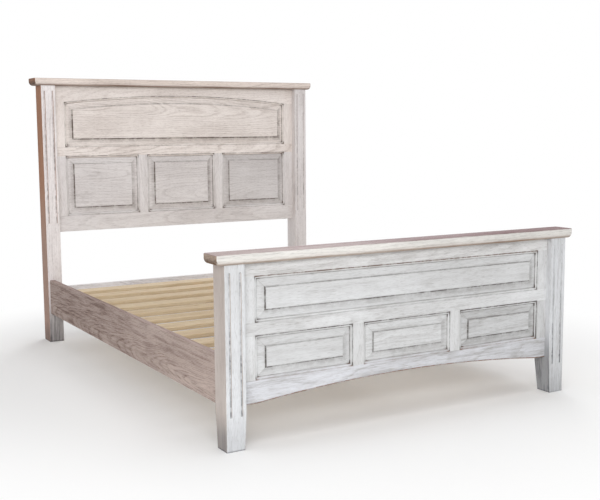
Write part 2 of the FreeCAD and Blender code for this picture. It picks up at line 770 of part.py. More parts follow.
def make_deck():
    for word, side in SIDES:
        make_side_rail(word, side)
        make_cleat(word, side)
    for number, place in enumerate(slat_places, 1):
        make_slat(number, place)


# Centre support

beam_start = foot.frame_front + size.frame_thickness + size.beam_end_gap
beam_stop = head.frame_front - size.beam_end_gap
bolt_hole = size.bolt_radius + size.bolt_fit


def make_beam():
    half = size.beam_width / 2
    body = new_body("centre_beam", (0, beam_start, beam_bottom))
    section = draw(body, "XZ_Plane", [rectangle(-half, half, 0, size.beam_height)])
    extrude(body, "Pad", section, beam_stop - beam_start, reverse=True)
    rise = bolt_height - beam_bottom
    holes = [hexagon(bolt_hole, foot_back + place - beam_start, rise) for word, place in leg_places]
    extrude(body, "Pocket", draw(body, "YZ_Plane", holes, (0, 0, half)), size.beam_width)


def make_leg(word, place):
    """Leg whose slotted top straddles the beam, bored below for its insert and leveller."""
    body = new_body(f"centre_leg_{word}", (0, foot_back + place, 0))
    half, slot = size.leg_width / 2, size.beam_width / 2 + size.wood_fit
    top = beam_bottom + size.leg_cheek
    corners = [(-half, size.leg_clear), (half, size.leg_clear), (half, top), (slot, top),
               (slot, beam_bottom), (-slot, beam_bottom), (-slot, top), (-half, top)]
    sketch = draw(body, "XZ_Plane", [corners], (0, 0, size.leg_depth / 2))
    extrude(body, "Pad", sketch, size.leg_depth, reverse=True)
    sketch = draw(body, "YZ_Plane", [hexagon(bolt_hole, 0, bolt_height)], (0, 0, half))
    extrude(body, "Pocket", sketch, size.leg_width)
    bores = ((size.insert_radius + size.insert_fit, size.insert_depth),
             (size.stud_radius + size.stud_side_room, size.stud_top + size.stud_room - size.leg_clear))
    for radius, depth in bores:
        sketch = draw(body, "XY_Plane", [hexagon(radius)], (0, 0, size.leg_clear))
        extrude(body, "Pocket", sketch, depth, reverse=True)


def make_leveller(word, place):
    """Levelling foot: a round pad, a nut and a stud that screws into the leg's insert."""
    body = new_body(f"leveller_{word}", (0, foot_back + place, 0))
    profile = [(0, 0), (size.pad_radius, 0), (size.pad_radius, size.pad_height),
               (size.stud_radius, size.pad_height), (size.stud_radius, size.stud_top), (0, size.stud_top)]
    revolve(body, "Revolution", draw(body, "XZ_Plane", [profile]), "V_Axis")
    nut = draw(body, "XY_Plane", [hexagon(size.jam_nut_radius)], (0, 0, size.pad_height))
    extrude(body, "Pad", nut, size.jam_nut_height)


def make_insert():
    """Flanged sleeve in the bottom of a centre leg."""
    body = new_body("insert_pattern", is_node=False)
    bore = hexagon(size.stud_radius + size.stud_fit)
    seat = size.leg_clear
    flange = [hexagon(size.insert_flange_radius), bore]
    extrude(body, "Pad", draw(body, "XY_Plane", flange, (0, 0, seat)), size.insert_flange, reverse=True)
    sleeve = [hexagon(size.insert_radius), bore]
    extrude(body, "Pad", draw(body, "XY_Plane", sleeve, (0, 0, seat)), size.insert_depth)
    return body


def make_bolt():
    """Hexagon-headed bolt through a leg's cheeks and the beam, along X."""
    body = new_body("bolt_pattern", is_node=False)
    seat = (0, 0, -size.leg_width / 2)
    cap = draw(body, "YZ_Plane", [hexagon(size.bolt_head_radius)], seat)
    extrude(body, "Pad", cap, size.bolt_head_height, reverse=True)
    shank = draw(body, "YZ_Plane", [hexagon(size.bolt_radius)], seat)
    extrude(body, "Pad", shank, size.leg_width + size.nut_height)
    return body


def make_nut():
    body = new_body("nut_pattern", is_node=False)
    loops = [hexagon(size.nut_radius), hexagon(size.bolt_radius + size.nut_fit)]
    extrude(body, "Pad", draw(body, "YZ_Plane", loops, (0, 0, size.leg_width / 2)), size.nut_height)
    return body


def make_bracket():
    """Sheet hanger under one end of the beam: a slotted back plate with ears, and a channel."""
    body = new_body("bracket_pattern", is_node=False)
    gauge = size.bracket_gauge
    inner = size.beam_width / 2 + size.wood_fit
    low, high = beam_bottom - gauge, beam_bottom - gauge + size.bracket_height
    runs = ((inner + gauge + size.bracket_ear, gauge), (inner + gauge, size.bracket_length))
    for outer, length in runs:
        corners = [(-outer, low), (outer, low), (outer, high), (inner, high),
                   (inner, beam_bottom), (-inner, beam_bottom), (-inner, high), (-outer, high)]
        extrude(body, "Pad", draw(body, "XZ_Plane", [corners]), length, reverse=True)
    holes = [hexagon(screw_hole, *place) for place in bracket_holes()]
    extrude(body, "Pocket", draw(body, "XZ_Plane", holes), gauge)
    countersink(body, ALONG_Y, gauge)
    return body


# Rail fittings

def make_hook_plate():
    """Plate in the end of a side rail, with two hooks that drop behind the keeper."""
    body = new_body("hook_plate_pattern", is_node=False)
    half, rise = size.plate_width / 2, size.plate_height / 2
    plate = draw(body, "XZ_Plane", [rectangle(-half, half, -rise, rise)])
    extrude(body, "Pad", plate, size.plate_thickness)
    back, behind = -size.plate_thickness, size.plate_thickness + size.hook_fit
    loops = []
    for low in hook_bottoms:
        high, tip = low + size.hook_neck, behind + size.hook_reach
        loops.append([(back, low), (behind, low), (behind, low - size.hook_drop),
                      (tip, low - size.hook_drop), (tip, high), (back, high)])
    hooks = draw(body, "YZ_Plane", loops, (0, 0, -size.hook_thickness / 2))
    extrude(body, "Pad", hooks, size.hook_thickness)
    add_plate_holes(body, reverse=True)
    return body


def make_keeper_plate():
    """Plate in a post, slotted for the hooks of a side rail."""
    body = new_body("keeper_plate_pattern", is_node=False)
    half, rise = size.plate_width / 2, size.plate_height / 2
    plate = draw(body, "XZ_Plane", [rectangle(-half, half, -rise, rise)])
    extrude(body, "Pad", plate, size.plate_thickness, reverse=True)
    half_slot = size.hook_thickness / 2 + size.hook_fit
    slot_height = size.hook_neck + size.hook_drop
    slots = [rectangle(-half_slot, half_slot, low, low + slot_height) for low in hook_bottoms]
    extrude(body, "Pocket", draw(body, "XZ_Plane", slots), size.plate_thickness)
    add_plate_holes(body, reverse=False)
    return body


def add_plate_holes(body, reverse):
    holes = [hexagon(screw_hole, 0, rise * plate_screw_rise) for rise in (-1, 1)]
    sketch = draw(body, "XZ_Plane", holes)
    extrude(body, "Pocket", sketch, size.plate_thickness, reverse=reverse)
    countersink(body, ALONG_Y, 0)


def make_screw(label, length):
    """Flat-headed screw with six sides, pointing down from its head at the origin."""
    body = new_body(label, is_node=False)
    seat = size.screw_radius - size.screw_head_radius
    shank = hexagon(size.screw_radius)
    extrude(body, "Pad", draw(body, "XY_Plane", [shank], (0, 0, -length)), length + seat)
    head = body.newObject("PartDesign::AdditiveLoft", "head")
    head.Profile = draw(body, "XY_Plane", [shank], (0, 0, seat))
    head.Sections = [draw(body, "XY_Plane", [hexagon(size.screw_head_radius)])]
    head.Ruled = True
    return body


# Groups of like pieces: each piece is a link to one pattern, set in its place

ABOUT_Z = Rotation(ALONG_Z, HALF_TURN)
UNTURNED = Rotation()
DRIVE = {
    "-Z": UNTURNED,
    "+X": Rotation(ALONG_Y, -QUARTER_TURN),
    "-X": Rotation(ALONG_Y, QUARTER_TURN),
    "-Y": Rotation(ALONG_X, -QUARTER_TURN),
    "+Y": Rotation(ALONG_X, QUARTER_TURN),
}


def place_group(label, items):
    """One node of separate pieces: items are a pattern, a place and a turn."""
    links = []
    for pattern, place, turn in items:
        link = doc.addObject("App::Link", f"{label}_piece")
        link.LinkedObject = pattern
        link.Placement = Placement(Vector(), turn)
        for axis, amount in zip("xyz", place):
            bind(link, f"Placement.Base.{axis}", amount)
        links.append(link)
    group = doc.addObject("Part::Compound", label)
    group.Label = label
    group.Links = links
    nodes.append(group)


def plate_spots():
    """Middle of each joint of a side rail and a post, and whether the post is at the head."""
    ends = ((foot_back, False), (head_front, True))
    return [((side * rail_centre, along, plate_centre), at_head)
            for word, side in SIDES for along, at_head in ends]


def place_plates():
    hook_plate, keeper_plate = make_hook_plate(), make_keeper_plate()
    spots = [(place, UNTURNED if at_head else ABOUT_Z) for place, at_head in plate_spots()]
    place_group("rail_hook_plates", [(hook_plate, place, turn) for place, turn in spots])
    place_group("post_keeper_plates", [(keeper_plate, place, turn) for place, turn in spots])


def place_brackets():
    bracket = make_bracket()
    back = foot.frame_front + size.frame_thickness
    place_group("beam_brackets", [(bracket, (0, back, 0), UNTURNED),
                                  (bracket, (0, head.frame_front, 0), ABOUT_Z)])


def place_leg_fittings():
    insert, bolt, nut = make_insert(), make_bolt(), make_nut()
    places = [foot_back + place for word, place in leg_places]
    place_group("leg_inserts", [(insert, (0, place, 0), UNTURNED) for place in places])
    place_group("leg_bolts", [(item, (0, place, bolt_height), UNTURNED)
                              for place in places for item in (bolt, nut)])


def place_long_screws():
    screw = make_screw("long_screw_pattern", size.long_screw)
    items = []
    for word, side in SIDES:
        for place in slat_places:
            items.append((screw, (side * cleat_centre, foot_back + place, slat_top), DRIVE["-Z"]))
        inner = side * (rail_inner - size.cleat_width)
        height = slat_bottom - size.cleat_height / 2
        for place in cleat_screw_places:
            items.append((screw, (inner, foot_back + place, height), DRIVE["+X" if side > 0 else "-X"]))
    place_group("slat_and_cleat_screws", items)


def place_short_screws():
    screw = make_screw("short_screw_pattern", size.short_screw)
    items = []
    for (across, along, height), at_head in plate_spots():
        for rise in (-1, 1):
            place = (across, along, height + rise * plate_screw_rise)
            items += [(screw, place, DRIVE["-Y"]), (screw, place, DRIVE["+Y"])]
    back = foot.frame_front + size.frame_thickness + size.bracket_gauge
    front = head.frame_front - size.bracket_gauge
    for across, height in bracket_holes():
        items.append((screw, (across, back, height), DRIVE["-Y"]))
        items.append((screw, (across, front, height), DRIVE["+Y"]))
    place_group("plate_and_bracket_screws", items)


def check_document():
    failed = [thing.Label for thing in doc.Objects if {"Invalid", "Error"} & set(thing.State)]
    for node in nodes:
        if node.Shape.isNull() or not node.Shape.isValid() or not node.Shape.Solids:
            failed.append(node.Label)
    if failed:
        raise RuntimeError(f"not built: {failed}")


def write_nodes():
    os.makedirs("parts", exist_ok=True)
    for node in nodes:
        node.Shape.exportStep(os.path.join("parts", f"{node.Label}.step"))
    print(f"{len(nodes)} nodes, {sum(len(node.Shape.Solids) for node in nodes)} solids")


make_boards()
make_deck()
make_beam()
for leg_word, leg_place in leg_places:
    make_leg(leg_word, leg_place)
    make_leveller(leg_word, leg_place)
place_leg_fittings()
place_brackets()
place_plates()
place_long_screws()
place_short_screws()
doc.recompute()
check_document()
write_nodes()
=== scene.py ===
import math

import bmesh
import bpy
import numpy as np
from mathutils import Matrix, Vector


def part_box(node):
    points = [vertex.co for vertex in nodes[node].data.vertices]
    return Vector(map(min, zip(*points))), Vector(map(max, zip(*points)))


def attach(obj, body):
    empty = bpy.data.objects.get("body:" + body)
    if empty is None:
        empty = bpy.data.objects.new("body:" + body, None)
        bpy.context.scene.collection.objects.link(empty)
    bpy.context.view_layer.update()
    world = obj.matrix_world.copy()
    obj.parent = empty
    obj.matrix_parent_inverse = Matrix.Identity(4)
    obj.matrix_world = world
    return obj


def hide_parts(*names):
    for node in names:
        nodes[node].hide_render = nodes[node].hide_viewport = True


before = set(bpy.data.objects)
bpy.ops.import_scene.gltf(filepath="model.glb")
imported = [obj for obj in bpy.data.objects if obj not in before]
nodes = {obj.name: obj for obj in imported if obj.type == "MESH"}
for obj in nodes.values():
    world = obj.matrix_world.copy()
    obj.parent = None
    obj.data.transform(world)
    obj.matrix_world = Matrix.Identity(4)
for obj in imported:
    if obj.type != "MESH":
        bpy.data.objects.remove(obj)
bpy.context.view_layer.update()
scene = bpy.context.scene
scene.view_settings.view_transform = "Standard"
print("frame loaded:", len(nodes), "pieces")


# camera

photoView = {
    "place": (-2.2675, -4.1652, 1.1284),  # metres, in the bed's own frame
    "turn": 0.52725,  # towards +X, radians
    "dip": 0.12127,
    "lean": -0.00706,
    "lens": 59.14,
    "sensor": 36.0,
}


def placeCamera(view):
    turn, dip, lean = view["turn"], view["dip"], view["lean"]
    ahead = Vector((math.sin(turn) * math.cos(dip), math.cos(turn) * math.cos(dip), -math.sin(dip)))
    level = Vector((math.cos(turn), -math.sin(turn), 0))
    upright = level.cross(ahead)
    right = level * math.cos(lean) + upright * math.sin(lean)
    up = upright * math.cos(lean) - level * math.sin(lean)
    axes = Matrix((right, up, -ahead)).transposed().to_4x4()
    camera = bpy.data.objects.new("camera", bpy.data.cameras.new("camera"))
    camera.data.lens, camera.data.sensor_width = view["lens"], view["sensor"]
    camera.matrix_world = Matrix.Translation(view["place"]) @ axes
    scene.collection.objects.link(camera)
    scene.camera = camera


placeCamera(photoView)
print("camera placed")


# shader helpers

def paint(red, green, blue):  # colour as seen on a screen, 0 to 255, to the linear colour a shader takes
    levels = np.array((red, green, blue)) / 255
    linear = np.where(levels <= 0.04045, levels / 12.92, ((levels + 0.055) / 1.055) ** 2.4)
    return (*linear.tolist(), 1.0)


def wire(tree, source, socket):
    if isinstance(source, bpy.types.NodeSocket):
        tree.links.new(source, socket)
    else:
        socket.default_value = source


def addNode(tree, kind, inputs=(), **settings):
    node = tree.nodes.new("ShaderNode" + kind)
    for name, value in settings.items():
        setattr(node, name, value)
    for name, value in dict(inputs).items():
        wire(tree, value, node.inputs[name])
    return node


def calc(tree, operation, *values, clamp=False):
    return addNode(tree, "Math", enumerate(values), operation=operation, use_clamp=clamp).outputs[0]


def times(tree, first, second):
    return calc(tree, "MULTIPLY", first, second)


def between(tree, share, least, most):  # from least to most as the share goes from 0 to 1
    return calc(tree, "MULTIPLY_ADD", share, most - least, least)


def greater(tree, first, second):
    return second if first is None else calc(tree, "MAXIMUM", first, second)


def ease(tree, value, start, stop):  # smooth step from 0 at start to 1 at stop
    node = addNode(tree, "MapRange", {0: value, 1: start, 2: stop}, interpolation_type="SMOOTHSTEP")
    return node.outputs[0]


def fade(tree, value, limits, strength):  # smooth step from 0 at the first limit up to the strength
    return times(tree, ease(tree, value, *limits), strength)


def vector(tree, operation, *values, out="Vector"):
    return addNode(tree, "VectorMath", enumerate(values), operation=operation).outputs[out]


def split(tree, source):
    return addNode(tree, "SeparateXYZ", {0: source}).outputs


def noise(tree, place, scale=1.0, detail=2.0, rough=0.5, out="Fac"):
    inputs = {"Vector": place, "Scale": scale, "Detail": detail, "Roughness": rough}
    return addNode(tree, "TexNoise", inputs).outputs[out]


def mixColour(tree, factor, first, second):
    node = addNode(tree, "Mix", {0: factor, 6: first, 7: second}, data_type="RGBA")
    return node.outputs[2]


def newGroup(name, inputs, outputs):
    tree = bpy.data.node_groups.new(name, "ShaderNodeTree")
    for way, sockets in (("INPUT", inputs), ("OUTPUT", outputs)):
        for label, kind in sockets:
            tree.interface.new_socket(label, in_out=way, socket_type="NodeSocket" + kind)
    return tree, tree.nodes.new("NodeGroupInput").outputs, tree.nodes.new("NodeGroupOutput").inputs


def useGroup(tree, group, inputs):
    node = tree.nodes.new("ShaderNodeGroup")
    node.node_tree = group
    for name, value in inputs.items():
        wire(tree, value, node.inputs[name])
    return node.outputs


def newMaterial(name, **fixed):
    material = bpy.data.materials.new(name)
    material.use_nodes = True
    shader = material.node_tree.nodes["Principled BSDF"]
    for socket, value in fixed.items():
        shader.inputs[socket.replace("_", " ")].default_value = value
    return material, material.node_tree, shader


def addBump(tree, shader, height, look):
    inputs = {"Strength": look["bump"], "Distance": look["bumpDepth"], "Height": height}
    if "softEdge" in look:  # radius that sharp edges seem to have
        inputs["Normal"] = addNode(tree, "Bevel", {"Radius": look["softEdge"]}, samples=4).outputs[0]
    wire(tree, addNode(tree, "Bump", inputs).outputs[0], shader.inputs["Normal"])


# stage: pale floor, white surround, soft lamps

studio = {
    "floorSize": 60.0,
    "floorColour": (250, 250, 250),
    "floorFade": (1.2, 2.3),  # metres from the middle where the floor starts to turn white, and is white
    "surround": 0.46,  # light from the white surround
    "lamps": (  # place, aim, width, height, watts
        ((-3.2, -7.2, 3.3), (0.0, 0.0, 0.7), 3.5, 2.8, 175),
        ((-2.9, -3.3, 1.9), (-0.4, -0.6, 0.5), 1.6, 1.6, 26),
        ((0.5, -0.8, 5.5), (0.0, 0.0, 0.0), 5.0, 5.0, 95),
        ((3.6, 5.0, 3.6), (0.2, 0.3, 0.6), 3.0, 3.0, 110),
    ),
}


def seenRays(tree):  # 1 for what the camera sees, in metal and glass too
    rays = addNode(tree, "LightPath").outputs
    seen = calc(tree, "MAXIMUM", rays["Is Camera Ray"], rays["Is Glossy Ray"])
    return calc(tree, "MAXIMUM", seen, rays["Is Transmission Ray"])


def makeFloor(setup):
    half = setup["floorSize"] / 2
    corners = [(-half, -half, 0), (half, -half, 0), (half, half, 0), (-half, half, 0)]
    mesh = bpy.data.meshes.new("floor")
    mesh.from_pydata(corners, [], [(0, 1, 2, 3)])
    floor = bpy.data.objects.new("floor", mesh)
    material, tree, shader = newMaterial("floorPaint", Roughness=0.9, Specular_IOR_Level=0.1)
    shader.inputs["Base Color"].default_value = paint(*setup["floorColour"])
    away = vector(tree, "LENGTH", addNode(tree, "TexCoord").outputs["Object"], out="Value")
    whiter = fade(tree, away, setup["floorFade"], seenRays(tree))
    white = addNode(tree, "Emission", {"Color": (1, 1, 1, 1), "Strength": 1.0}).outputs[0]
    mixed = addNode(tree, "MixShader", {0: whiter, 1: shader.outputs[0], 2: white}).outputs[0]
    wire(tree, mixed, tree.nodes["Material Output"].inputs["Surface"])
    mesh.materials.append(material)
    scene.collection.objects.link(floor)


def makeSurround(setup):  # full white to the camera, and a softer light on the bed
    world = bpy.data.worlds.new("surround")
    world.use_nodes = True
    scene.world = world
    tree = world.node_tree
    background = tree.nodes["Background"]
    background.inputs["Color"].default_value = (1, 1, 1, 1)
    wire(tree, between(tree, seenRays(tree), setup["surround"], 1.0), background.inputs["Strength"])


def placeLamps(setup):
    for place, aim, width, height, watts in setup["lamps"]:
        lamp = bpy.data.lights.new("softbox", "AREA")
        lamp.shape, lamp.size, lamp.size_y, lamp.energy = "RECTANGLE", width, height, watts
        holder = bpy.data.objects.new("softbox", lamp)
        holder.location = place
        holder.rotation_euler = (Vector(aim) - Vector(place)).to_track_quat("-Z", "Y").to_euler()
        scene.collection.objects.link(holder)


makeFloor(studio)
makeSurround(studio)
placeLamps(studio)
print("stage lit")


# oak grain: rings round a leaning pith line, with pores along the grain, brush streaks and slow clouds

grain = {
    "slowWander": (2.6, 5.0, 5.0),  # how fast the rings wander, along and across a board
    "slowBy": 4.3,  # in rings
    "quickWander": (9.0, 24.0, 24.0),
    "quickBy": 1.0,
    "earlyStart": (0.0, 0.08),  # shares of a ring where the early wood starts to show, and shows fully
    "earlyEnd": (0.55, 0.12),  # where it has gone, and where it starts to go
    "yearShare": (0.4, 1.0),  # the faintest ring and the strongest
    "lateShade": 0.18,
    "latePower": 3.0,
    "dashScale": (14.0, 240.0, 240.0),
    "dashBy": 0.4,  # fine wobble of the rings, in rings
    "dashRange": (0.38, 0.62),
    "dashShare": (0.4, 1.0),  # a ring in its gaps and in its dashes
    "poreScale": (24.0, 800.0, 800.0),
    "poreRange": (0.54, 0.66),
    "streakScale": (2.4, 80.0, 80.0),
    "streakRange": (0.42, 0.72),
    "cloudScale": (2.2, 6.0, 6.0),
    "cloudRange": (0.3, 0.7),
}


def makeGrainGroup(look):
    tree, given, result = newGroup(
        "oakGrain",
        [("Plank", "Vector"), ("Ring", "Float")],
        [("Rings", "Float"), ("Pores", "Float"), ("Streaks", "Float"), ("Clouds", "Float")],
    )
    plank = bent = given["Plank"]
    for pace in ("slow", "quick"):
        by = look[pace + "By"]
        drift = vector(tree, "MULTIPLY", plank, look[pace + "Wander"])
        drift = noise(tree, drift, detail=1.0, out="Color")
        drift = vector(tree, "SUBTRACT", drift, (0.5, 0.5, 0.5))
        inputs = {0: vector(tree, "MULTIPLY", drift, (0.0, by, by)), "Scale": given["Ring"]}
        bent = vector(tree, "ADD", bent, addNode(tree, "VectorMath", inputs, operation="SCALE").outputs[0])
    dash = noise(tree, vector(tree, "MULTIPLY", plank, look["dashScale"]), detail=2.0)
    reach = vector(tree, "LENGTH", vector(tree, "MULTIPLY", bent, (0, 1, 1)), out="Value")
    count = calc(tree, "MULTIPLY_ADD", dash, look["dashBy"], calc(tree, "DIVIDE", reach, given["Ring"]))
    phase = calc(tree, "FRACT", count)
    early = times(tree, ease(tree, phase, *look["earlyStart"]), ease(tree, phase, *look["earlyEnd"]))
    early = times(tree, early, between(tree, ease(tree, dash, *look["dashRange"]), *look["dashShare"]))
    whole = calc(tree, "FLOOR", count)
    year = addNode(tree, "TexWhiteNoise", {"W": whole}, noise_dimensions="1D").outputs["Value"]
    early = times(tree, early, between(tree, year, *look["yearShare"]))
    late = calc(tree, "POWER", phase, look["latePower"])
    wire(tree, calc(tree, "MULTIPLY_ADD", late, look["lateShade"], early), result["Rings"])

    for mark, detail, rough in (("pore", 1.0, 0.5), ("streak", 3.0, 0.6), ("cloud", 3.0, 0.6)):
        field = vector(tree, "MULTIPLY", plank, look[mark + "Scale"])
        field = noise(tree, field, detail=detail, rough=rough)
        wire(tree, ease(tree, field, *look[mark + "Range"]), result[mark.capitalize() + "s"])
    return tree


grainGroup = makeGrainGroup(grain)


# washed oak: wash over wood, thinner on the grain lines and rubbed off the edges, dark glaze in crevices,
# and painted shade in the glaze's colour

washRules = {
    "cover": 0.98,
    "poreShow": 0.25,
    "cloudShow": 0.22,
    "edgeWidth": 0.005,  # how far from an edge the wash is rubbed off
    "rubScale": 26.0,
    "rubRange": (0.40, 0.66),
    "bareShare": (0.75, 1.25),  # bare places beside the brush streaks and on them
    "breakScale": 34.0,
    "breakRange": (0.36, 0.60),
    "breakShare": (0.45, 1.0),  # glaze where it is broken and where it is whole
    "fadeScale": 6.0,
    "fadeRange": (0.36, 0.60),
    "fadeShare": (0.7, 1.1),
    "grimeAndShadeShare": (0.65, 1.0),  # grime and painted shade beside the brush streaks and on them
    "rough": (0.62, 0.52),  # bare wood and full wash
    "glazeRough": 0.15,
    "poreHeight": -0.5,
    "ringHeight": -0.5,
    "streakHeight": -0.2,
}
faceColours = ("Front", "Side", "Top")


def makeWashGroup(rules):
    colours = [(face + part, "Color") for face in faceColours for part in ("Wash", "Wood")]
    amounts = ("CreviceAndShade", "GrimeAndShade", "BareAndShade", "OnSide", "OnTop", "Ring", "RingShow", "StreakShow", "Wear")
    tree, given, result = newGroup(
        "washedOak",
        [(name, "Vector") for name in ("Plank", "Place", "Centre", "Half")]
        + [(name, "Float") for name in amounts] + [("GlazeShadeColour", "Color")] + colours,
        [("Colour", "Color"), ("Roughness", "Float"), ("Height", "Float")],
    )
    marks = useGroup(tree, grainGroup, {"Plank": given["Plank"], "Ring": given["Ring"]})

    # distance to the nearest edge: the middle one of the three distances to the faces of the board's box
    inward = vector(tree, "ABSOLUTE", vector(tree, "SUBTRACT", given["Place"], given["Centre"]))
    x, y, z = split(tree, vector(tree, "SUBTRACT", given["Half"], inward))
    least, most = calc(tree, "MINIMUM", x, y), calc(tree, "MAXIMUM", x, y)
    edge = calc(tree, "MAXIMUM", least, calc(tree, "MINIMUM", most, z))
    patch = noise(tree, given["Place"], scale=rules["rubScale"], detail=4.0, rough=0.65)
    rubbed = times(tree, ease(tree, edge, rules["edgeWidth"], 0.0), ease(tree, patch, *rules["rubRange"]))
    rubbed = times(tree, rubbed, given["Wear"])

    cover = between(tree, marks["Clouds"], rules["cover"] - rules["cloudShow"], rules["cover"])
    shows = {"Rings": given["RingShow"], "Streaks": given["StreakShow"], "Pores": rules["poreShow"]}
    for mark, show in shows.items():
        cover = calc(tree, "SUBTRACT", cover, times(tree, marks[mark], show))
    bareAndShade = times(tree, given["BareAndShade"], between(tree, marks["Streaks"], *rules["bareShare"]))
    cover = calc(tree, "SUBTRACT", calc(tree, "SUBTRACT", cover, rubbed), bareAndShade, clamp=True)
    layers = {}
    for part in ("Wash", "Wood"):
        face = mixColour(tree, given["OnSide"], given["Front" + part], given["Side" + part])
        layers[part] = mixColour(tree, given["OnTop"], face, given["Top" + part])
    colour = mixColour(tree, cover, layers["Wood"], layers["Wash"])

    broken = noise(tree, given["Place"], scale=rules["breakScale"], detail=4.0, rough=0.7)
    broken = between(tree, ease(tree, broken, *rules["breakRange"]), *rules["breakShare"])
    faded = noise(tree, given["Place"], scale=rules["fadeScale"], detail=2.0)
    faded = between(tree, ease(tree, faded, *rules["fadeRange"]), *rules["fadeShare"])
    # painted shade joins the glaze and the grime here, darkening the colour towards the glaze colour
    dirtAndShade = times(tree, given["GrimeAndShade"], between(tree, marks["Streaks"], *rules["grimeAndShadeShare"]))
    glazedAndShaded = calc(tree, "MULTIPLY_ADD", given["CreviceAndShade"], times(tree, broken, faded), dirtAndShade, clamp=True)
    wire(tree, mixColour(tree, glazedAndShaded, colour, given["GlazeShadeColour"]), result["Colour"])

    matt = between(tree, cover, *rules["rough"])
    wire(tree, calc(tree, "MULTIPLY_ADD", glazedAndShaded, rules["glazeRough"], matt), result["Roughness"])
    height = times(tree, marks["Rings"], rules["ringHeight"])
    height = calc(tree, "MULTIPLY_ADD", marks["Pores"], rules["poreHeight"], height)
    height = calc(tree, "MULTIPLY_ADD", marks["Streaks"], rules["streakHeight"], height)
    wire(tree, height, result["Height"])
    return tree


washGroup = makeWashGroup(washRules)
print("grain and wash ready")


# glaze and painted shade round a panel, by the distance from the outline of its opening: minus inside, -42
# mm at the field
# a line has its place and half width, and for each board its strength on the left, right, top and bottom

panelLines = {
    "tongueRun": 0.0005,  # a panel's tongue past the outline of its opening
    "archRise": 0.0395,
    # the field step's line is glaze with a painted shadow under the step
    "lines": {"quirk": (-0.0006, 0.0030), "seat": (-0.0094, 0.0024), "fieldStep": (-0.0420, 0.0038)},
    "lineCore": 0.35,  # share of the half width at full strength
    "halo": (0.010, 0.0),
    "haloStrength": 0.2,
    "corner": (0.020, 0.003),  # more glaze where two sides meet, by the distance from the mitre
    "cornerStrength": 0.75,
    "bevel": (-0.010, -0.036),  # the shade on the bevel starts, and is full
    "bevelEnd": 0.002,  # it ends this far past the field's step
    # the mitre is a dark line of painted shade where two bevels meet
    "mitre": (0.0026, 0.0),
    "mitreRun": (0.0, -0.006),
    "mitreStrength": 0.30,
    "sideBlend": 0.001,  # half of the change from one side's strengths to the next side's
    "near": 0.002,  # a piece no further off lies along the panel
    "behind": (0.0125, 0.0105),  # depth with no glaze, and with full glaze
    # the bevel strengths are painted shade, strongest on the sides turned from the light
    "foot": {"quirk": (0.16, 0.62, 0.90, 0.28), "seat": (0.10, 0.46, 0.45, 0.24),
             "fieldStep": (0.80, 0.05, 0.40, 0.50), "bevel": (0.06, 0.28, 0.02, 0.34)},
    "head": {"quirk": (0.28, 0.18, 0.58, 0.32), "seat": (0.12, 0.50, 0.26, 0.16),
             "fieldStep": (0.68, 0.12, 0.34, 0.58), "bevel": (0.32, 0.50, 0.08, 0.32)},
    "heavierMarks": {"foot_panel_right": 1.5, "head_panel_top": 1.2},  # panels with more glaze and more painted shade than the others
}


def boardOf(name):
    return name.split("_")[0]


def pastArc(tree, at, half, rise, crown):  # distance outside an arc about X = 0, half a span to each side
    radius = (half ** 2 + rise ** 2) / (2 * rise)
    up = calc(tree, "SUBTRACT", at["Z"], crown - radius)
    arm = addNode(tree, "CombineXYZ", {0: at["X"], 1: up}).outputs[0]
    return calc(tree, "SUBTRACT", vector(tree, "LENGTH", arm, out="Value"), radius)


def makePanelGroup(name, look):
    tree, given, result = newGroup(name + "_lines", [("Place", "Vector")], [("Lines", "Float")])
    at = split(tree, given["Place"])
    low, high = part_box(name)
    run, blend = look["tongueRun"], look["sideBlend"]
    width = (high.x - low.x) / 2 - run
    across = calc(tree, "SUBTRACT", at["X"], (low.x + high.x) / 2)
    beside = calc(tree, "SUBTRACT", calc(tree, "ABSOLUTE", across), width)
    below = calc(tree, "SUBTRACT", low.z + run, at["Z"])
    if name == "head_panel_top":
        above = pastArc(tree, at, width, look["archRise"], high.z - run)
    else:
        above = calc(tree, "SUBTRACT", at["Z"], high.z - run)
    upDown = calc(tree, "MAXIMUM", below, above)
    distance = calc(tree, "MAXIMUM", beside, upDown)
    apart = calc(tree, "SUBTRACT", beside, upDown)
    fromMitre = calc(tree, "ABSOLUTE", apart)
    corner = fade(tree, fromMitre, look["corner"], look["cornerStrength"])
    onSide = ease(tree, apart, -blend, blend)
    onLeft = ease(tree, across, blend, -blend)
    onBottom = ease(tree, calc(tree, "SUBTRACT", below, above), -blend, blend)

    def bySide(left, right, top, bottom):
        aside = between(tree, onLeft, right, left)
        level = between(tree, onBottom, top, bottom)
        return calc(tree, "MULTIPLY_ADD", onSide, calc(tree, "SUBTRACT", aside, level), level)

    total, strengths = None, look[boardOf(name)]
    for key, (middle, half) in look["lines"].items():
        strength = bySide(*strengths[key])
        if key != "fieldStep":
            strength = calc(tree, "ADD", strength, corner)
        off = calc(tree, "ABSOLUTE", calc(tree, "SUBTRACT", distance, middle))
        line = ease(tree, off, half, half * look["lineCore"])
        line = calc(tree, "ADD", line, fade(tree, off, look["halo"], look["haloStrength"]))
        total = greater(tree, total, times(tree, line, strength))
    field = look["lines"]["fieldStep"][0]
    onBevel = ease(tree, distance, field - look["bevelEnd"], field)
    # painted shade on the bevel, darkest next to the field, with painted dark lines on the mitres
    shade = fade(tree, distance, look["bevel"], bySide(*strengths["bevel"]))
    mitre = fade(tree, fromMitre, look["mitre"], look["mitreStrength"])
    mitre = times(tree, mitre, ease(tree, distance, *look["mitreRun"]))
    shade = times(tree, greater(tree, mitre, shade), onBevel)
    total = times(tree, calc(tree, "ADD", total, shade), look["heavierMarks"].get(name, 1.0))
    wire(tree, total, result["Lines"])
    return tree


panelGroups = {name: makePanelGroup(name, panelLines) for name in nodes if "_panel_" in name}


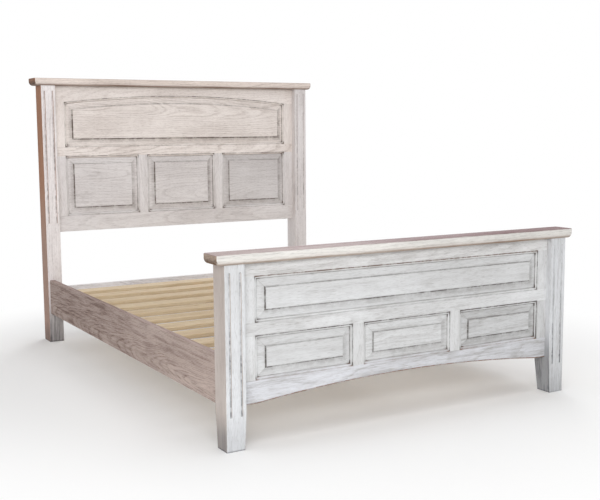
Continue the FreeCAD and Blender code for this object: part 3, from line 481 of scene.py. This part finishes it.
def panelGlazeAndShade(tree, place, name, look):  # glaze lines and painted shade of the panels that a piece lies along, on its front
    low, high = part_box(name)
    total = None
    for panel, group in panelGroups.items():
        start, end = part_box(panel)
        apart = max(start.x - high.x, low.x - end.x, start.z - high.z, low.z - end.z)
        neighbour = boardOf(panel) == boardOf(name) and apart < look["near"]
        if neighbour and ("panel" not in name or panel == name):
            total = greater(tree, total, useGroup(tree, group, {"Place": place})["Lines"])
    depth = calc(tree, "SUBTRACT", split(tree, place)["Y"], low.y)
    return times(tree, total, ease(tree, depth, *look["behind"]))


# oak finishes: wash and wood for the front, sides and top, and how the grain shows

# side colours are partly a browner, thinner wash and partly painted shade on faces turned from the light;
# the head's warmer, pinker whites beside the foot's cool ones are partly painted light colour
footFinish = {
    "frontWash": (231, 232, 233), "frontWood": (150, 146, 142),
    "sideWash": (206, 196, 190), "sideWood": (146, 130, 120),
    "topWash": (171, 153, 151), "topWood": (112, 80, 82),
    "glazeAndShade": (98, 92, 88), "ring": 0.011, "ringShow": 0.26, "streakShow": 0.17, "wear": 0.18,
}
headFinish = {
    "frontWash": (246, 239, 235), "frontWood": (160, 143, 134),
    "sideWash": (164, 114, 82), "sideWood": (112, 72, 48),
    "topWash": (176, 148, 132), "topWood": (128, 96, 80),
    "glazeAndShade": (100, 86, 78), "ring": 0.0088, "ringShow": 0.38, "streakShow": 0.12, "wear": 0.18,
}
railFinish = {
    "frontWash": (192, 174, 165), "frontWood": (104, 84, 76),
    "sideWash": (205, 187, 178), "sideWood": (114, 90, 81),
    "topWash": (186, 166, 160), "topWood": (122, 100, 92),
    "glazeAndShade": (96, 80, 72), "ring": 0.0056, "ringShow": 0.50, "streakShow": 0.28, "wear": 0.2,
}
deckFinish = {
    "frontWash": (216, 197, 167), "frontWood": (180, 152, 116),
    "sideWash": (216, 197, 167), "sideWood": (180, 152, 116),
    "topWash": (218, 199, 169), "topWood": (182, 154, 118),
    "glazeAndShade": (120, 96, 70), "ring": 0.008, "ringShow": 0.6, "streakShow": 0.35, "wear": 0.1,
}
oakFinishes = {
    "foot": footFinish, "head": headFinish, "rail": railFinish, "deck": deckFinish,
    "footCap": dict(footFinish, frontWash=(240, 237, 232), glazeAndShade=(126, 94, 66), sideWash=(172, 152, 136),
                    sideWood=(84, 68, 58)),
    "footTop": dict(footFinish, frontWash=(235, 235, 235), glazeAndShade=(116, 98, 86)),
    "footLow": dict(footFinish, frontWash=(234, 236, 242), glazeAndShade=(130, 102, 86)),
    "footPost": dict(footFinish, frontWash=(231, 233, 236), glazeAndShade=(90, 92, 98)),
    "headCap": dict(headFinish, frontWash=(242, 230, 222), glazeAndShade=(108, 82, 66), sideWash=(150, 104, 76),
                    sideWood=(70, 48, 36)),
    "headLow": dict(headFinish, frontWash=(239, 235, 235), frontWood=(152, 141, 138), ringShow=0.30),
    "headPost": dict(headFinish, frontWash=(245, 240, 240), frontWood=(152, 141, 138), glazeAndShade=(86, 83, 84)),
}
pieceTonesAndLight = {  # boards a little darker or lighter: partly their own tone, partly painted shade darkening the foot towards the right and painted light on the head's top rail in the cap's shadow
    "foot_post_right": 0.97, "foot_panel_right": 0.93, "foot_stile_lower_right": 0.96,
    "foot_panel_centre": 0.98, "foot_panel_left": 0.965, "foot_panel_top": 0.975,
    "foot_stile_upper_left": 0.975, "head_stile_lower_left": 1.02, "head_panel_right": 0.94,
    "head_post_right": 0.97, "head_stile_upper_left": 1.03, "head_top_rail": 1.03,
    "head_mid_rail": 1.03, "head_panel_top": 1.02, "head_post_left": 1.04,
}
pieceGrain = {  # boards whose grain shows more or less
    "foot_panel_right": 1.6, "foot_bottom_rail": 1.5, "foot_post_right": 1.5, "foot_top_rail": 1.3,
    "foot_stile_lower_right": 1.5, "foot_mullion_left": 1.3, "head_mid_rail": 1.2,
    "head_mullion_left": 1.7, "head_mullion_right": 1.7, "head_top_rail": 0.6,
    "head_stile_upper_left": 0.4, "foot_panel_left": 0.65, "foot_panel_top": 0.65,
    "foot_stile_upper_left": 0.5, "foot_post_left": 0.6,
}


# grain direction: each board is sawn from its own place beside the pith

grainTurns = {  # turns the grain's direction on to X
    "x": Matrix.Identity(3),
    "y": Matrix.Rotation(-math.pi / 2, 3, "Z"),
    "z": Matrix.Rotation(math.pi / 2, 3, "Y"),
}
sawing = {  # least and most
    "pithBehind": (0.036, 0.096),  # metres behind the board
    "pithAside": (-0.70, 0.70),  # shares of half its width
    "lean": (0.025, 0.075),  # radians, to either side
    "dip": (-0.025, 0.025),
    "slide": (0.0, 7.0),  # along the grain, so that no two boards match
}
evenSteps = (0.6180339887, 0.7548776662)  # multiples of these spread evenly over 0 to 1


def chance(name, turn):  # a fixed number from 0 to 1 for a piece
    total = sum(place * ord(letter) for place, letter in enumerate(name, 3))
    return (total * evenSteps[0] + turn * evenSteps[1]) % 1.0


def pick(name, turn, limits):  # a fixed value between two limits for a piece
    return limits[0] + (limits[1] - limits[0]) * chance(name, turn)


def plankMapping(tree, place, name, along, saw):
    low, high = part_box(name)
    half = (high - low) / 2
    axes = {"x": 0, "y": 1, "z": 2}
    thin = min((half[axis], axis) for key, axis in axes.items() if key != along)[1]  # through the board
    wide = 3 - thin - axes[along]
    pith = (low + high) / 2
    pith[thin] += half[thin] + pick(name, 1, saw["pithBehind"])
    pith[wide] += half[wide] * pick(name, 2, saw["pithAside"])
    way = 1 if chance(name, 4) > 0.5 else -1
    lean = Matrix.Rotation(way * pick(name, 3, saw["lean"]), 3, "Z")
    dip = Matrix.Rotation(pick(name, 5, saw["dip"]), 3, "Y")
    turn = dip @ lean @ grainTurns[along]
    shift = Vector((pick(name, 6, saw["slide"]), 0, 0)) - turn @ pith
    inputs = {"Vector": place, "Location": shift, "Rotation": turn.to_euler("XYZ")}
    return addNode(tree, "Mapping", inputs).outputs[0]


# marks on the boards: panel lines of glaze and painted shade, the line over the arch, a faint painted
# shadow under the cap and painted shade along the bottom rail

framedWords = ("_rail", "stile", "mullion", "panel")
# a faint painted shadow just under the cap
underCapShade = {"depth": 0.008, "strength": 0.12}
footArch = {"half": 0.670, "rise": 0.037, "line": (0.0055, 0.00165), "strength": 1.2}
bottomRail = {"bareAndShadeAlong": (-0.3, 0.8), "bareAndShade": 0.22}  # painted shade: darker towards the right


def hasWord(name, words):
    return any(word in name for word in words)


def shadeUnderCap(tree, at, top, look):
    return fade(tree, at["Z"], (top - look["depth"], top), look["strength"])


def archLine(tree, at, bottom, look):  # distance from the arc under the board, or from the flats beside it
    overArc = pastArc(tree, at, look["half"], look["rise"], bottom + look["rise"])
    over = calc(tree, "MINIMUM", overArc, calc(tree, "SUBTRACT", at["Z"], bottom))
    return fade(tree, over, look["line"], look["strength"])


def boardMarks(tree, name, place, at):
    low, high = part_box(name)
    marks = {"CreviceAndShade": panelGlazeAndShade(tree, place, name, panelLines)}
    if "top_rail" in name:
        marks["CreviceAndShade"] = greater(tree, marks["CreviceAndShade"], shadeUnderCap(tree, at, high.z, underCapShade))
    if name == "foot_bottom_rail":
        marks["CreviceAndShade"] = greater(tree, marks["CreviceAndShade"], archLine(tree, at, low.z, footArch))
        marks["BareAndShade"] = fade(tree, at["X"], bottomRail["bareAndShadeAlong"], bottomRail["bareAndShade"])
    return marks


# marks on the posts: glaze in the flutes, and darkening towards the floor, which is painted shade under the
# bed on the inner sides and the head posts' fronts

fluteLook = {
    "edgeRoom": (0.004, 0.008),  # metres from a side with no glaze, and with full glaze
    "depth": (0.0012, 0.0036),  # behind the front face, where glaze starts, and is full
    "behind": (0.02, 0.01),  # depth with no glaze, and with full glaze
    "foot": 0.75,
    "head": 0.5,
    "rightShare": 0.85,  # the right post has less
    "dashScale": (3.0, 3.0, 24.0),
    "dashRange": (0.40, 0.60),
    "dashShare": (0.25, 1.0),
    "cleanTop": 0.45,  # share that is gone at the top
    "cleanRun": 0.40,
}
legLook = {  # heights where each mark starts, and is full
    # a dark line at the foot of each leg is painted contact shadow and scuffs
    "scuff": (0.006, 0.001), "scuffStrength": 0.5,
    # darker towards the floor on the outer sides and the foot posts' fronts; painted shade on the inner
    # sides, and under the rail on the head posts' fronts
    "outside": (0.150, 0.030), "outsideStrength": 0.76,
    "inside": (0.30, 0.16), "insideStrength": 0.80,
    "footFront": (0.17, 0.02), "footStrength": 0.29,
    "headFront": (0.30, 0.02), "headStrength": 1.08,
    "grey": (0.95, 0.45), "greyStrength": 0.17, "greyDarkening": 1.4,
}
turnedShares = (0.55, 0.8)  # shares of the normal where a face starts to count as turned one way, and does


def facing(tree, share, way=1):  # 1 on faces turned that way along an axis
    return ease(tree, share, *(way * limit for limit in turnedShares))


def fluteGlaze(tree, name, place, at, look):  # behind the front, away from the sides, in broken dashes
    low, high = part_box(name)
    fromMiddle = calc(tree, "ABSOLUTE", calc(tree, "SUBTRACT", at["X"], (low.x + high.x) / 2))
    fromSide = calc(tree, "SUBTRACT", (high.x - low.x) / 2, fromMiddle)
    depth = calc(tree, "SUBTRACT", at["Y"], low.y)
    deep = times(tree, ease(tree, depth, *look["depth"]), ease(tree, depth, *look["behind"]))
    dashes = noise(tree, vector(tree, "MULTIPLY", place, look["dashScale"]), detail=3.0, rough=0.65)
    dashes = between(tree, ease(tree, dashes, *look["dashRange"]), *look["dashShare"])
    strength = look[boardOf(name)] * (look["rightShare"] if name.endswith("right") else 1.0)
    clean = ease(tree, at["Z"], high.z - look["cleanRun"], high.z)
    strength = between(tree, clean, strength, strength * (1.0 - look["cleanTop"]))
    return times(tree, fade(tree, fromSide, look["edgeRoom"], deep), times(tree, strength, dashes))


def postMarks(tree, name, place, at, normal, look):
    board, top = boardOf(name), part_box(name)[1].z
    outward = times(tree, normal["X"], 1.0 if name.endswith("right") else -1.0)
    onSide = facing(tree, outward)
    outer = fade(tree, at["Z"], look["outside"], look["outsideStrength"])
    inner = fade(tree, at["Z"], look["inside"], look["insideStrength"])
    front = fade(tree, at["Z"], look[board + "Front"], look[board + "Strength"])
    darkening = times(tree, onSide, outer)
    darkening = greater(tree, darkening, times(tree, facing(tree, outward, -1), inner))
    darkening = greater(tree, darkening, times(tree, facing(tree, normal["Y"], -1), front))
    if board == "head":  # brown sides turn greyer down the post
        grey = fade(tree, at["Z"], look["grey"], look["greyStrength"])
        darkening = greater(tree, darkening, times(tree, times(tree, onSide, grey), look["greyDarkening"]))
        onSide = times(tree, onSide, calc(tree, "SUBTRACT", 1.0, grey))
    # a dark line at the foot of each leg: painted contact shadow and scuffs
    scuff = fade(tree, at["Z"], look["scuff"], look["scuffStrength"])
    creviceAndShadow = greater(tree, scuff, fluteGlaze(tree, name, place, at, fluteLook))
    creviceAndShadow = greater(tree, creviceAndShadow, shadeUnderCap(tree, at, top, underCapShade))
    return {"CreviceAndShade": creviceAndShadow, "GrimeAndShade": darkening, "OnSide": onSide}


# marks on the caps: a ragged white front edge, a tan tint with painted shade and a painted shadow line low
# down, brown ends with painted shade on their lower part, and a stained top

capLook = {  # heights over the cap's underside where each mark starts, and is full
    "tan": (0.021, 0.004), "footTan": 0.46, "headTan": 0.30,
    "line": (0.012, 0.005), "lineStrength": 0.95,
    "under": (0.030, 0.004), "underShade": 0.9,
    "endShares": (0.4, 0.7),  # shares of the normal, as for a turned face
    "whiteEdge": (0.003, 0.009),  # from the front and the noise: the top's colour starts, and is full
    "raggedScale": 14.0, "raggedBy": 0.016,
    "stainAlong": (-0.75, 0.15), "stain": 0.68,  # on the foot cap
}


def capMarks(tree, name, place, at, normal, look):
    low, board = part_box(name)[0], boardOf(name)
    rise = calc(tree, "SUBTRACT", at["Z"], low.z)
    onEnd = ease(tree, calc(tree, "ABSOLUTE", normal["X"]), *look["endShares"])
    ragged = noise(tree, place, scale=look["raggedScale"], detail=4.0)
    ragged = calc(tree, "MULTIPLY_ADD", ragged, look["raggedBy"], calc(tree, "SUBTRACT", at["Y"], low.y))
    onTop = times(tree, facing(tree, normal["Z"]), ease(tree, ragged, *look["whiteEdge"]))
    # painted shade on the rounded lower edge, and a painted shadow line under it
    tan = fade(tree, rise, look["tan"], look[board + "Tan"])
    darkening = greater(tree, fade(tree, rise, look["line"], look["lineStrength"]), tan)
    # painted shade on the lower part of the ends
    bareAndShade = times(tree, fade(tree, rise, look["under"], look["underShade"]), onEnd)
    if board == "foot":
        stain = fade(tree, at["X"], look["stainAlong"], look["stain"])
        bareAndShade = greater(tree, bareAndShade, times(tree, stain, onTop))
    return {"GrimeAndShade": darkening, "BareAndShade": bareAndShade, "OnSide": onEnd, "OnTop": onTop}


railLook = {"bareAndShadeAlong": (-1.0, 0.8), "bareAndShade": 0.40}  # barer and darker towards the head


def railMarks(tree, at, normal, look):
    onSide = facing(tree, calc(tree, "ABSOLUTE", normal["X"]))
    bareAndShade = fade(tree, at["Y"], look["bareAndShadeAlong"], look["bareAndShade"])
    return {"BareAndShade": bareAndShade, "OnSide": onSide, "OnTop": facing(tree, normal["Z"])}


# oak pieces: a finish, a grain direction and the marks for each kind

oakSurface = {"specular": 0.22, "bump": 0.35, "bumpDepth": 0.0008, "softEdge": 0.0012}
uprightShow = 0.5  # share of the rings that shows on posts, stiles and mullions
uprightWords = ("post", "stile", "mullion")
lowWords = ("panel_left", "panel_centre", "panel_right", "stile_lower", "mullion", "lower_rail",
            "stretcher")
footRails = {"foot_top_rail": "footTop", "foot_bottom_rail": "footLow"}


def isSlat(name):
    return name.startswith("slat_") and name[-1].isdigit()


def pieceFinish(name):  # finish and grain direction of a piece of oak, or nothing for another piece
    board = boardOf(name)
    if board in ("foot", "head"):
        finishName = footRails.get(name, board)
        if name.endswith("cap"):
            finishName = board + "Cap"
        if "_post_" in name:
            finishName = board + "Post"
        if board == "head" and hasWord(name, lowWords):
            finishName = "headLow"
        return finishName, "z" if hasWord(name, uprightWords) else "x"
    if name.startswith("side_rail"):
        return "rail", "y"
    if isSlat(name):
        return "deck", "x"
    if name.startswith(("cleat", "centre_beam")):
        return "deck", "y"
    return ("deck", "z") if name.startswith("centre_leg") else None


def pieceMarks(tree, name, finishName, place, normal):
    at = split(tree, place)
    if finishName.endswith("Post"):
        return postMarks(tree, name, place, at, normal, legLook)
    if finishName.endswith("Cap"):
        return capMarks(tree, name, place, at, normal, capLook)
    if finishName == "rail":
        return railMarks(tree, at, normal, railLook)
    if finishName != "deck" and hasWord(name, framedWords):
        return boardMarks(tree, name, place, at)
    return {}


def oakMaterial(name, finishName, along):
    finish, toneAndLight, shows = oakFinishes[finishName], pieceTonesAndLight.get(name, 1.0), pieceGrain.get(name, 1.0)
    upright = uprightShow if along == "z" and finishName != "deck" else 1.0
    material, tree, shader = newMaterial(name + "_oak", Specular_IOR_Level=oakSurface["specular"])
    coordinates = addNode(tree, "TexCoord").outputs
    place, normal = coordinates["Object"], split(tree, coordinates["Normal"])
    low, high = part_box(name)
    inputs = {
        "Plank": plankMapping(tree, place, name, along, sawing), "Place": place,
        "Centre": (low + high) / 2, "Half": (high - low) / 2,
        "Ring": finish["ring"], "RingShow": finish["ringShow"] * upright * shows,
        "StreakShow": finish["streakShow"] * shows,
        "Wear": finish["wear"], "GlazeShadeColour": paint(*finish["glazeAndShade"]),
    }
    inputs.update(pieceMarks(tree, name, finishName, place, normal))
    for face in faceColours:
        for part in ("Wash", "Wood"):
            inputs[face + part] = paint(*(level * toneAndLight for level in finish[face.lower() + part]))
    oak = useGroup(tree, washGroup, inputs)
    wire(tree, oak["Colour"], shader.inputs["Base Color"])
    wire(tree, oak["Roughness"], shader.inputs["Roughness"])
    addBump(tree, shader, oak["Height"], oakSurface)
    return material


for name, piece in nodes.items():
    if pieceFinish(name):
        piece.data.materials.clear()
        piece.data.materials.append(oakMaterial(name, *pieceFinish(name)))
print("oak finished")


# zinc plated steel and moulded plastic

steelLook = {
    "bright": (186, 188, 190), "dull": (142, 145, 150),
    "filmScale": 18.0, "filmRange": (0.35, 0.65),
    "spangle": 260.0, "rough": (0.28, 0.53),
    "bump": 0.1, "bumpDepth": 0.0003, "softEdge": 0.0005,
}
plasticLook = {
    "black": (44, 44, 46), "worn": (66, 66, 68),
    "scuffScale": 60.0, "scuffRange": (0.5, 0.75), "rough": (0.35, 0.65),
    "texture": 900.0, "bump": 0.2, "bumpDepth": 0.0002,
}


def steelMaterial(look):
    material, tree, shader = newMaterial("zincPlatedSteel", Metallic=1.0)
    place = addNode(tree, "TexCoord").outputs["Object"]
    spangle = noise(tree, place, look["spangle"], detail=3.0, rough=0.6)
    film = ease(tree, noise(tree, place, look["filmScale"], detail=4.0), *look["filmRange"])
    colour = mixColour(tree, film, paint(*look["dull"]), paint(*look["bright"]))
    wire(tree, colour, shader.inputs["Base Color"])
    wire(tree, between(tree, spangle, *look["rough"]), shader.inputs["Roughness"])
    addBump(tree, shader, spangle, look)
    return material


def plasticMaterial(look):
    material, tree, shader = newMaterial("leveller_plastic_black")
    place = addNode(tree, "TexCoord").outputs["Object"]
    scuff = noise(tree, place, look["scuffScale"], detail=4.0, rough=0.7)
    worn = ease(tree, scuff, *look["scuffRange"])
    colour = mixColour(tree, worn, paint(*look["black"]), paint(*look["worn"]))
    wire(tree, colour, shader.inputs["Base Color"])
    wire(tree, between(tree, scuff, *look["rough"]), shader.inputs["Roughness"])
    addBump(tree, shader, noise(tree, place, look["texture"], detail=2.0), look)
    return material


zincSteel = steelMaterial(steelLook)
blackPlastic = plasticMaterial(plasticLook)
for name in ("rail_hook_plates", "post_keeper_plates", "beam_brackets"):
    nodes[name].data.materials.clear()
    nodes[name].data.materials.append(zincSteel)
print("metal and plastic ready")


# new pieces: closed surfaces on a grid of turn and profile

def gridFaces(rows, columns):  # quads of a grid that closes round its columns
    row, column = np.meshgrid(np.arange(rows - 1), np.arange(columns), indexing="ij")
    after = (column + 1) % columns
    quads = np.stack((row * columns + column, row * columns + after,
                      (row + 1) * columns + after, (row + 1) * columns + column), axis=-1)
    return quads.reshape(-1, 4)


def makeSurface(name, shells, material, body, stands):
    points, quads, offset = [], [], 0
    for shell in shells:  # rows by columns by 3: it ends in two points, or in the row that it starts from
        rows, columns = shell.shape[:2]
        points.append(shell.reshape(-1, 3))
        quads.append(gridFaces(rows, columns) + offset)
        offset += rows * columns
    points, quads = np.concatenate(points), np.concatenate(quads)
    mesh = bpy.data.meshes.new(name)
    mesh.from_pydata(points.tolist(), [], quads.tolist())
    piece = bpy.data.objects.new(name, mesh)
    scene.collection.objects.link(piece)
    closeEnds(mesh)
    mesh.materials.append(material)
    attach(piece, body)
    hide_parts(*stands)


def closeEnds(mesh):  # equal points become one, at the poles and where a profile comes back to its start
    work = bmesh.new()
    work.from_mesh(mesh)
    bmesh.ops.remove_doubles(work, verts=work.verts, dist=1e-7)
    bmesh.ops.recalc_face_normals(work, faces=work.faces)
    work.to_mesh(mesh)
    work.free()


def turned(radii, heights, columns):  # profile turned about Z: x = r cos t, y = r sin t, z = h
    angle = np.linspace(0, 2 * np.pi, columns, endpoint=False)
    radii, heights = np.asarray(radii, float)[:, None], np.asarray(heights, float)[:, None]
    return np.stack((radii * np.cos(angle), radii * np.sin(angle), heights + 0 * angle), axis=-1)


def aimed(shell, place, axis):  # turns a shell's +Z on to the axis and moves its origin to the place
    turn = np.array(Vector((0, 0, 1)).rotation_difference(Vector(axis)).to_matrix())
    return shell @ turn.T + np.array(place)


# screws: a flat head with a cross recess on a plain, pointed shank

screwLook = {
    "headRadius": 0.004, "shankRadius": 0.0019, "rim": 0.0001, "long": 0.036, "short": 0.020,
    "coneShare": 0.97, "flatShare": 0.9,  # of the head's radius, at the cone's top and the flat top's edge
    "pointShare": 0.5, "pointAt": 0.9, "taperAt": 0.75,  # of the shank's radius, and of the length
    "recess": 0.0014, "crossWidth": 0.0007, "crossReach": 0.0024, "proud": 0.0003,
    "topRows": 7, "columns": 24,
    "plateRise": 0.060,  # from the middle of a hook plate, up and down
    "bracketGauge": 0.003, "earShare": 0.9,  # sheet of the brackets, and the place on half an ear
}


def screwShell(length, look):  # a profile turned about Z: tip, point, shank, cone, rim and flat top
    head, shank, rim = look["headRadius"], look["shankRadius"], look["rim"]
    point, taper = -length * look["pointAt"], -length * look["taperAt"]
    top = np.linspace(head * look["flatShare"], 0, look["topRows"])
    radii = [0, shank * look["pointShare"], shank, shank, head * look["coneShare"], head, *top]
    heights = [-length, point, taper, shank - head, -2 * rim, -rim, *(0 * top)]
    shell = turned(radii, heights, look["columns"])
    # the recess is a cross: a point sinks if it is near either bar's middle line and within its reach
    x, y = np.abs(shell[..., 0]), np.abs(shell[..., 1])
    bar = np.minimum(x, y) < look["crossWidth"]
    within = np.maximum(x, y) < look["crossReach"]
    onTop = np.arange(len(radii))[:, None] > len(radii) - look["topRows"]
    shell[..., 2] += look["proud"] - look["recess"] * (bar & within & onTop)
    return shell


def placeScrews(look):
    longShell, shortShell = screwShell(look["long"], look), screwShell(look["short"], look)
    slats = [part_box(name) for name in sorted(nodes) if isSlat(name)]
    middles = [(low.y + high.y) / 2 for low, high in slats]
    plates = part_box("rail_hook_plates")
    plateMiddle = (plates[0].z + plates[1].z) / 2
    longOnes, shortOnes = [], []
    for side, inward in (("left", 1), ("right", -1)):
        low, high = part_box("cleat_" + side)
        inner = high.x if side == "left" else low.x
        for along in middles:
            longOnes.append(aimed(longShell, ((low.x + high.x) / 2, along, slats[0][1].z), (0, 0, 1)))
        for first, second in list(zip(middles, middles[1:]))[::2]:
            spot = (inner, (first + second) / 2, (low.z + high.z) / 2)
            longOnes.append(aimed(longShell, spot, (inward, 0, 0)))
        low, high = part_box("side_rail_" + side)
        for along in (low.y, high.y):
            for rise in (-look["plateRise"], look["plateRise"]):
                spot = ((low.x + high.x) / 2, along, plateMiddle + rise)
                shortOnes += [aimed(shortShell, spot, (0, 1, 0)), aimed(shortShell, spot, (0, -1, 0))]
    low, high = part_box("beam_brackets")
    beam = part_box("centre_beam")
    gauge, level = look["bracketGauge"], (low.z + high.z) / 2
    across = high.x - (high.x - beam[1].x) / 2 * look["earShare"]
    for spot in (-across, across):
        shortOnes.append(aimed(shortShell, (spot, low.y + gauge, level), (0, 1, 0)))
        shortOnes.append(aimed(shortShell, (spot, high.y - gauge, level), (0, -1, 0)))
    makeSurface("slatScrews", longOnes, zincSteel, "bed_frame", ["slat_and_cleat_screws"])
    makeSurface("plateScrews", shortOnes, zincSteel, "bed_frame",
                ["plate_and_bracket_screws"])


placeScrews(screwLook)
print("screws placed")


# levelling feet: threaded stud, thin nut and a soft-edged pad

levellerLook = {
    "padRadius": 0.022, "padHeight": 0.008, "padEase": 0.002, "easeRows": 6,
    "studRadius": 0.004, "nutFlat": 0.0065, "nutHeight": 0.004,
    "pitch": 0.00125, "threadDepth": 0.0006, "tip": 0.001, "turnRows": 6, "columns": 48,
}
sixSides = {"bevel": 0.08, "bevelRadius": 1.02, "columns": 48}  # bevels as shares of the distance to a flat


def sixSided(flat, low, high, look):  # r = flat / cos of the angle from the nearest flat's middle
    angle = np.linspace(0, 2 * np.pi, look["columns"], endpoint=False)
    fromFlat = (angle + np.pi / 6) % (np.pi / 3) - np.pi / 6
    corner, none = flat / np.cos(fromFlat), 0 * angle
    bevel, cut = flat * look["bevel"], np.minimum(corner, flat * look["bevelRadius"])
    radius = np.stack((none, flat + none, cut, corner, corner, cut, flat + none, none))
    height = np.array([low, low, low, low + bevel, high - bevel, high, high, high])[:, None] + none
    return np.stack((radius * np.cos(angle), radius * np.sin(angle), height), axis=-1)


def threaded(radius, low, high, look):  # r = radius less a triangle wave of the height less the turn
    rows = int((high - low) / look["pitch"] * look["turnRows"])
    angle = np.linspace(0, 2 * np.pi, look["columns"], endpoint=False)[None, :]
    height = np.linspace(low, high, rows)[:, None]
    wave = np.abs(((height / look["pitch"] - angle / (2 * np.pi)) % 1.0) * 2 - 1)
    body = radius - look["threadDepth"] * wave
    body = np.minimum(body, radius - look["tip"] + (high - height))  # the tip is chamfered
    shell = np.stack((body * np.cos(angle), body * np.sin(angle), height + 0 * angle), axis=-1)
    start, stop = shell[:1] * (0, 0, 1), shell[-1:] * (0, 0, 1)
    return np.concatenate((start, shell, stop))


def makeLevellers(look):
    soft, radius, top = look["padEase"], look["padRadius"], look["padHeight"]
    bend = np.linspace(0, np.pi / 2, look["easeRows"])
    radii = [0, *(radius - soft + soft * np.sin(bend)), *(radius - soft + soft * np.cos(bend)), 0]
    heights = [0, *(soft - soft * np.cos(bend)), *(top - soft + soft * np.sin(bend)), top]
    pad = turned(radii, heights, look["columns"])
    nut = sixSided(look["nutFlat"], top, top + look["nutHeight"], sixSides)
    for word in ("front", "rear"):
        low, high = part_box("leveller_" + word)
        centre = np.array(((low.x + high.x) / 2, (low.y + high.y) / 2, 0))
        makeSurface("levellerPad_" + word, [pad + centre], blackPlastic, "leveller_" + word,
                    ["leveller_" + word])
        stud = threaded(look["studRadius"], top, high.z, look)
        makeSurface("levellerStud_" + word, [nut + centre, stud + centre], zincSteel,
                    "leveller_" + word, ["leveller_" + word])


makeLevellers(levellerLook)
print("levelling feet made")


# leg bolts with their nuts, and the flanged inserts

boltLook = {
    "headFlat": 0.005, "headHeight": 0.004, "shankRadius": 0.003, "nutHeight": 0.005,
    "proud": 0.0003,  # the bolt's end past its nut
    "pitch": 0.001, "threadDepth": 0.0005, "tip": 0.001, "turnRows": 6, "columns": 32,
}
insertLook = {"sleeve": 0.007, "flange": 0.012, "flangeHeight": 0.0015, "flangeEase": 0.0004,
              "bore": 0.00408, "columns": 48}


def makeBolts(look):
    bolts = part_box("leg_bolts")
    shells = []
    for word in ("front", "rear"):
        low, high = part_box("centre_leg_" + word)
        half = (high.x - low.x) / 2
        end = half + look["nutHeight"]
        spot = (0, (low.y + high.y) / 2, (bolts[0].z + bolts[1].z) / 2)
        head = sixSided(look["headFlat"], -half - look["headHeight"], -half, sixSides)
        nut = sixSided(look["headFlat"], half, end - look["proud"], sixSides)
        shank = threaded(look["shankRadius"], -half, end, look)
        shells += [aimed(shell, spot, (1, 0, 0)) for shell in (head, nut, shank)]
    makeSurface("legBolts", shells, zincSteel, "bed_frame", ["leg_bolts"])


def makeInserts(look):
    low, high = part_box("leg_inserts")
    flange, sleeve, bore, soft = look["flange"], look["sleeve"], look["bore"], look["flangeEase"]
    seat = low.z + look["flangeHeight"]
    radii = [bore, flange - soft, flange, flange, sleeve, sleeve, bore, bore]
    heights = [low.z, low.z, low.z + soft, seat, seat, high.z, high.z, low.z]
    ring = turned(radii, heights, look["columns"])
    shells = []
    for word in ("front", "rear"):
        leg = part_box("centre_leg_" + word)
        shells.append(ring + np.array((0, (leg[0].y + leg[1].y) / 2, 0)))
    makeSurface("legInserts", shells, zincSteel, "bed_frame", ["leg_inserts"])


makeBolts(boltLook)
makeInserts(insertLook)
print("leg fittings made")
